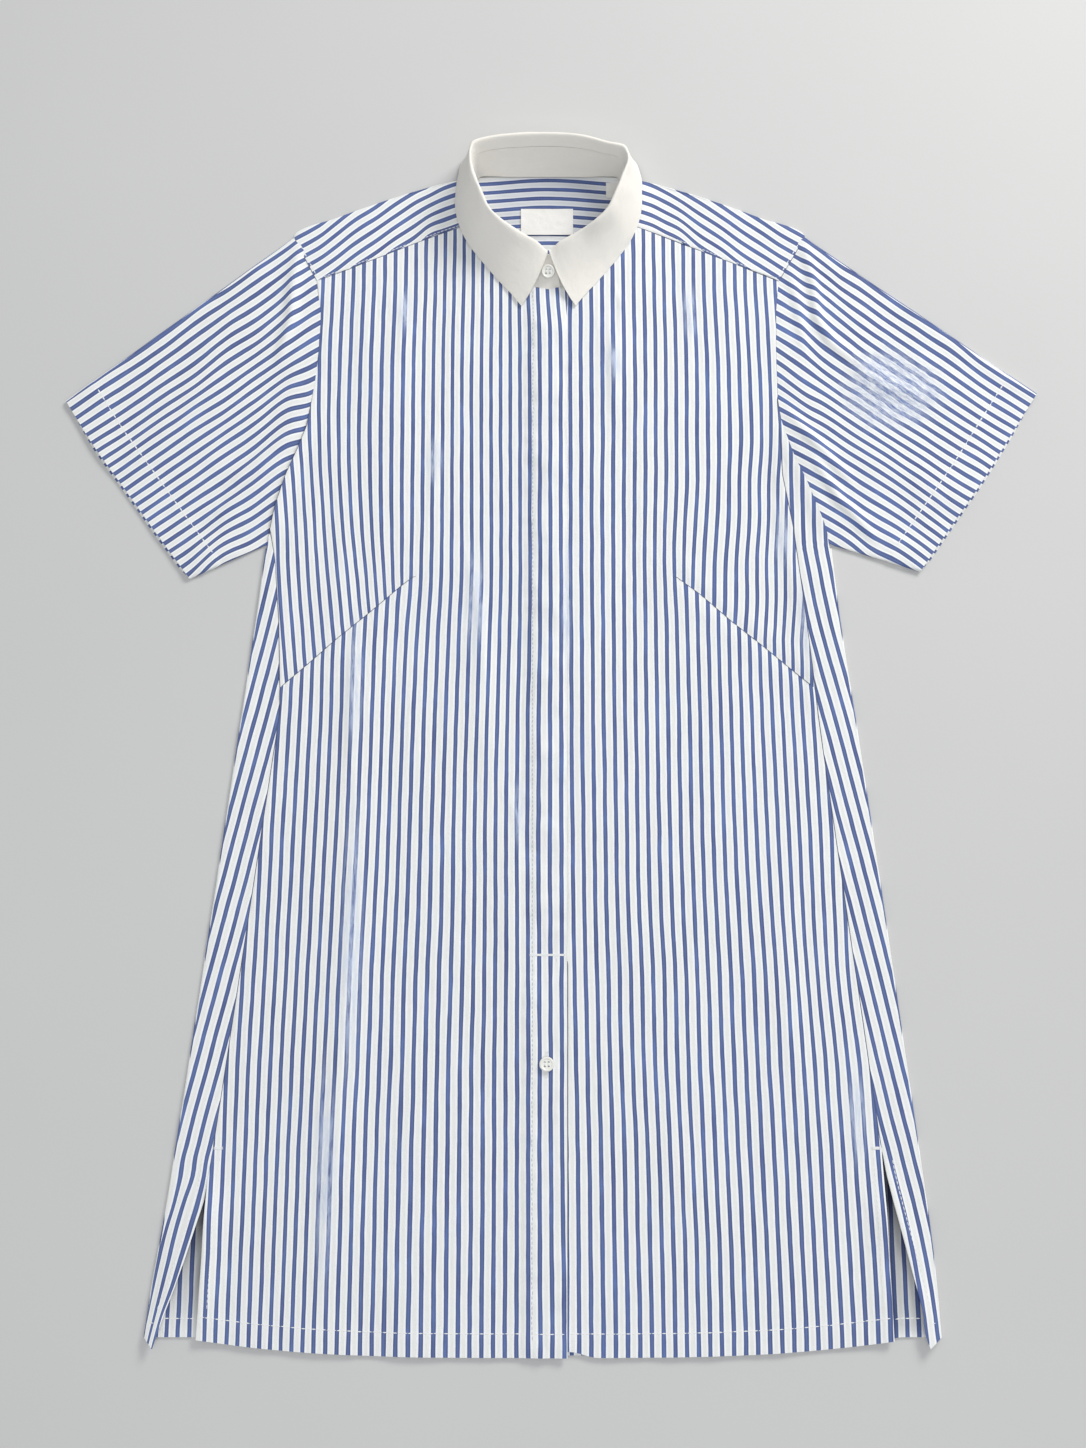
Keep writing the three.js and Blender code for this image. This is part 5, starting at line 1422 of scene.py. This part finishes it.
# label ends
on_label = surface_z(label)
for x in (-21.6, 19.2):
    sewn += stitches([(x, 881.5), (x, 901.5)], lambda a, b: on_label(a, b) - 0.02, 2.4, 0.16, seed=30)
# seam of the fall on the stand, seen inside the neck
gone = 0.0
q = -6.4
while q < 6.4:
    three = []
    for v in (q, q + 0.08, q + 0.16):
        r, a, b, _ = collar_frame(v)
        up, out, tall = collar_axes(v)
        end = 1 - (r[9] + 1.9) / tall
        three.append(a + (b - a) * end + out * (0.25 * math.sin(math.pi * 0.97)) - out * 0.47)
    sewn.append((three, 0.17))
    step = np.linalg.norm(three[-1] - three[0])
    q += 0.16 * 3.0 / max(step, 0.5)
place(tubes("stitching", sewn, flat=0.5), THREAD, "striped_cotton")
# the placket's stitches are grey as painted shade of their puckers
place(tubes("placket_stitching", placket_sewn, flat=0.5), PLACKET_SHADE_THREAD, "striped_cotton")


# Dark seam lines: painted shade between two pieces, drawn as a thin dark cord sunk into each seam.
def shadow_cord(points, height, radius=0.30, sink=0.16, step=3.0):
    pts = np.array(points, float)
    run = np.concatenate([[0], np.cumsum(np.hypot(*(pts[1:] - pts[:-1]).T))])
    n = max(3, int(run[-1] / step))
    at = np.linspace(0, run[-1], n)
    xs, ys = np.interp(at, run, pts[:, 0]), np.interp(at, run, pts[:, 1])
    return [(x, y, max(height(x + d, y) for d in (-0.9, 0, 0.9)) - sink) for x, y in zip(xs, ys)], radius


shadow_cords = []
for s in (-1, 1):
    on_front = on_right if s < 0 else on_left
    shadow_cords.append(shadow_cord([(s * r[2], r[3] - 0.1) for r in SHOULDERS], on_front))
    ys = np.linspace(UNDERARM + 8, BACK_YOKE_SEAM, 60)
    shadow_cords.append(shadow_cord([(float(arm_x(s, y)) - s * 0.05, y) for y in ys], on_front, sink=0.45))
    ys = np.linspace(SLIT_TOP + 2, 625 if s < 0 else 736, 120)
    shadow_cords.append(shadow_cord([(float(seam_x(s, y)), y) for y in ys], on_front, sink=0.22, radius=0.34))
    ys = np.linspace(BACK_YOKE_SEAM, 876, 12)
    shadow_cords.append(shadow_cord([(float(arm_x(s, y)), y) for y in ys], on_yoke, sink=0.2))
    t = DARTS[side(s)]
    ds = np.linspace(t[0, 0] - 2, abs(float(seam_x(s, 497))) - 1.5, 40)
    shadow_cords.append(shadow_cord([(s * d, float(np.interp(d, t[:, 0], t[:, 1]))) for d in ds], on_front, radius=0.24, sink=0.02))
# the gap below the placket's free edge, where a dark cord is painted shadow
edge_line = [(float(np.interp(y, (0, 830), (PLACKET_EDGE_HEM, PLACKET_EDGE_TOP))) + 0.35, y) for y in np.linspace(70, 285, 50)]
shadow_cords.append(shadow_cord(edge_line, on_left, radius=0.42, sink=-0.1))
place(tubes("seam_shadow_lines", shadow_cords), SHADOW_THREAD, "striped_cotton")


# Thread through the holes of the two buttons that show, and its shank below.
def button_thread(name, base, tilt):
    c, s = math.cos(tilt), math.sin(tilt)
    turn = lambda v: np.array([v[0], c * v[1] - s * v[2], s * v[1] + c * v[2]]) + base
    runs = []
    h = HOLE_STEP / 2
    for k in range(4):
        for sx in (-1, 1):
            o = 0.13 * (k - 1.5)
            pts = [(sx * h + o, -h * 1.02, 0.9), (sx * h + o, -h * 0.8, 1.5), (sx * h + o, 0, 1.66 + 0.05 * (k % 2)),
                   (sx * h + o, h * 0.8, 1.5), (sx * h + o, h * 1.02, 0.9)]
            runs.append(([turn(p) for p in pts], 0.17))
    for k in range(9):
        a = 2 * math.pi * k / 9
        pts = [(1.1 * math.cos(a), 1.1 * math.sin(a), 0.25), (0.95 * math.cos(a + 0.5), 0.95 * math.sin(a + 0.5), -0.3),
               (1.2 * math.cos(a + 1), 1.2 * math.sin(a + 1), -0.85)]
        runs.append(([turn(p) for p in pts], 0.24))
    return place(tubes(name, runs), THREAD, "button")


button_thread("hem_button_thread", np.array([HEM_BUTTON[0], HEM_BUTTON[1], 3.9 + float(fly_lift(np.array(HEM_BUTTON[0]), np.array(HEM_BUTTON[1])))]), 0.0)
r, a, b, _ = collar_frame(-LAST)
up, out, tall = collar_axes(-LAST)
spot = a + (b - a) * 0.47 + out * (1.4 + 0.5 + 0.5 + 0.3)
button_thread("collar_button_thread", np.array([-0.4, spot[1], spot[2]]), math.atan2(up[2], up[1]))

# --------------------------------------------------------- floor, light, view
def make_floor():
    n = Nodes("pale_floor")
    n.link(n.blend(n.noise(3.0, 5.0), linear(206, 206, 205), linear(200, 200, 199)), n.bsdf.inputs["Base Color"])
    n.bsdf.inputs["Roughness"].default_value = 0.7
    n.bsdf.inputs["Specular IOR Level"].default_value = 0.2
    n.link(n.bump(n.noise(400.0, 3.0), 0.0002, 0.2), n.bsdf.inputs["Normal"])
    me = bpy.data.meshes.new("floor")
    me.from_pydata([(-4, -4, -0.0002), (4, -4, -0.0002), (4, 4, -0.0002), (-4, 4, -0.0002)], [], [(0, 1, 2, 3)])
    floor = bpy.data.objects.new("floor", me)
    floor.data.materials.append(n.material)
    bpy.context.scene.collection.objects.link(floor)


def lamp(name, place_, target, size, power, colour=(1, 1, 1)):
    data = bpy.data.lights.new(name, "AREA")
    data.shape = "RECTANGLE"
    data.size, data.size_y = size
    data.energy = power
    data.color = colour
    obj = bpy.data.objects.new(name, data)
    bpy.context.scene.collection.objects.link(obj)
    obj.location = place_
    d = np.array(target, float) - np.array(place_, float)
    obj.rotation_euler = Vector(d).to_track_quat("-Z", "Y").to_euler()
    return obj


make_floor()
lamp("window", (1.5, 2.0, 1.35), (0, 0.0, 0), (1.3, 0.8), 62.0, (1.0, 0.985, 0.96))
lamp("ceiling", (-0.1, -0.9, 2.4), (0, 0, 0), (1.8, 1.8), 21.0)
world = bpy.data.worlds.new("studio")
world.use_nodes = True
world.node_tree.nodes["Background"].inputs[0].default_value = (0.93, 0.96, 1.0, 1.0)
world.node_tree.nodes["Background"].inputs[1].default_value = 0.44
bpy.context.scene.world = world

cam = bpy.data.cameras.new("camera")
cam.sensor_fit, cam.sensor_width, cam.lens = "AUTO", 36.0, 37.29
camera = bpy.data.objects.new("camera", cam)
bpy.context.scene.collection.objects.link(camera)
camera.location = ((-4.5 + SHIFT[0]) / 1000, (264.5 + SHIFT[1]) / 1000, 1.1558)
camera.rotation_euler = (math.radians(10), 0, 0)
bpy.context.scene.camera = camera
bpy.context.scene.view_settings.view_transform = "Standard"

for node in ["hem_button", "collar_button"] + ["fly_button_%d" % k for k in range(1, FLY_COUNT + 1)]:
    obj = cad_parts[node]
    obj.data.materials.clear()
    obj.data.materials.append(PEARL)
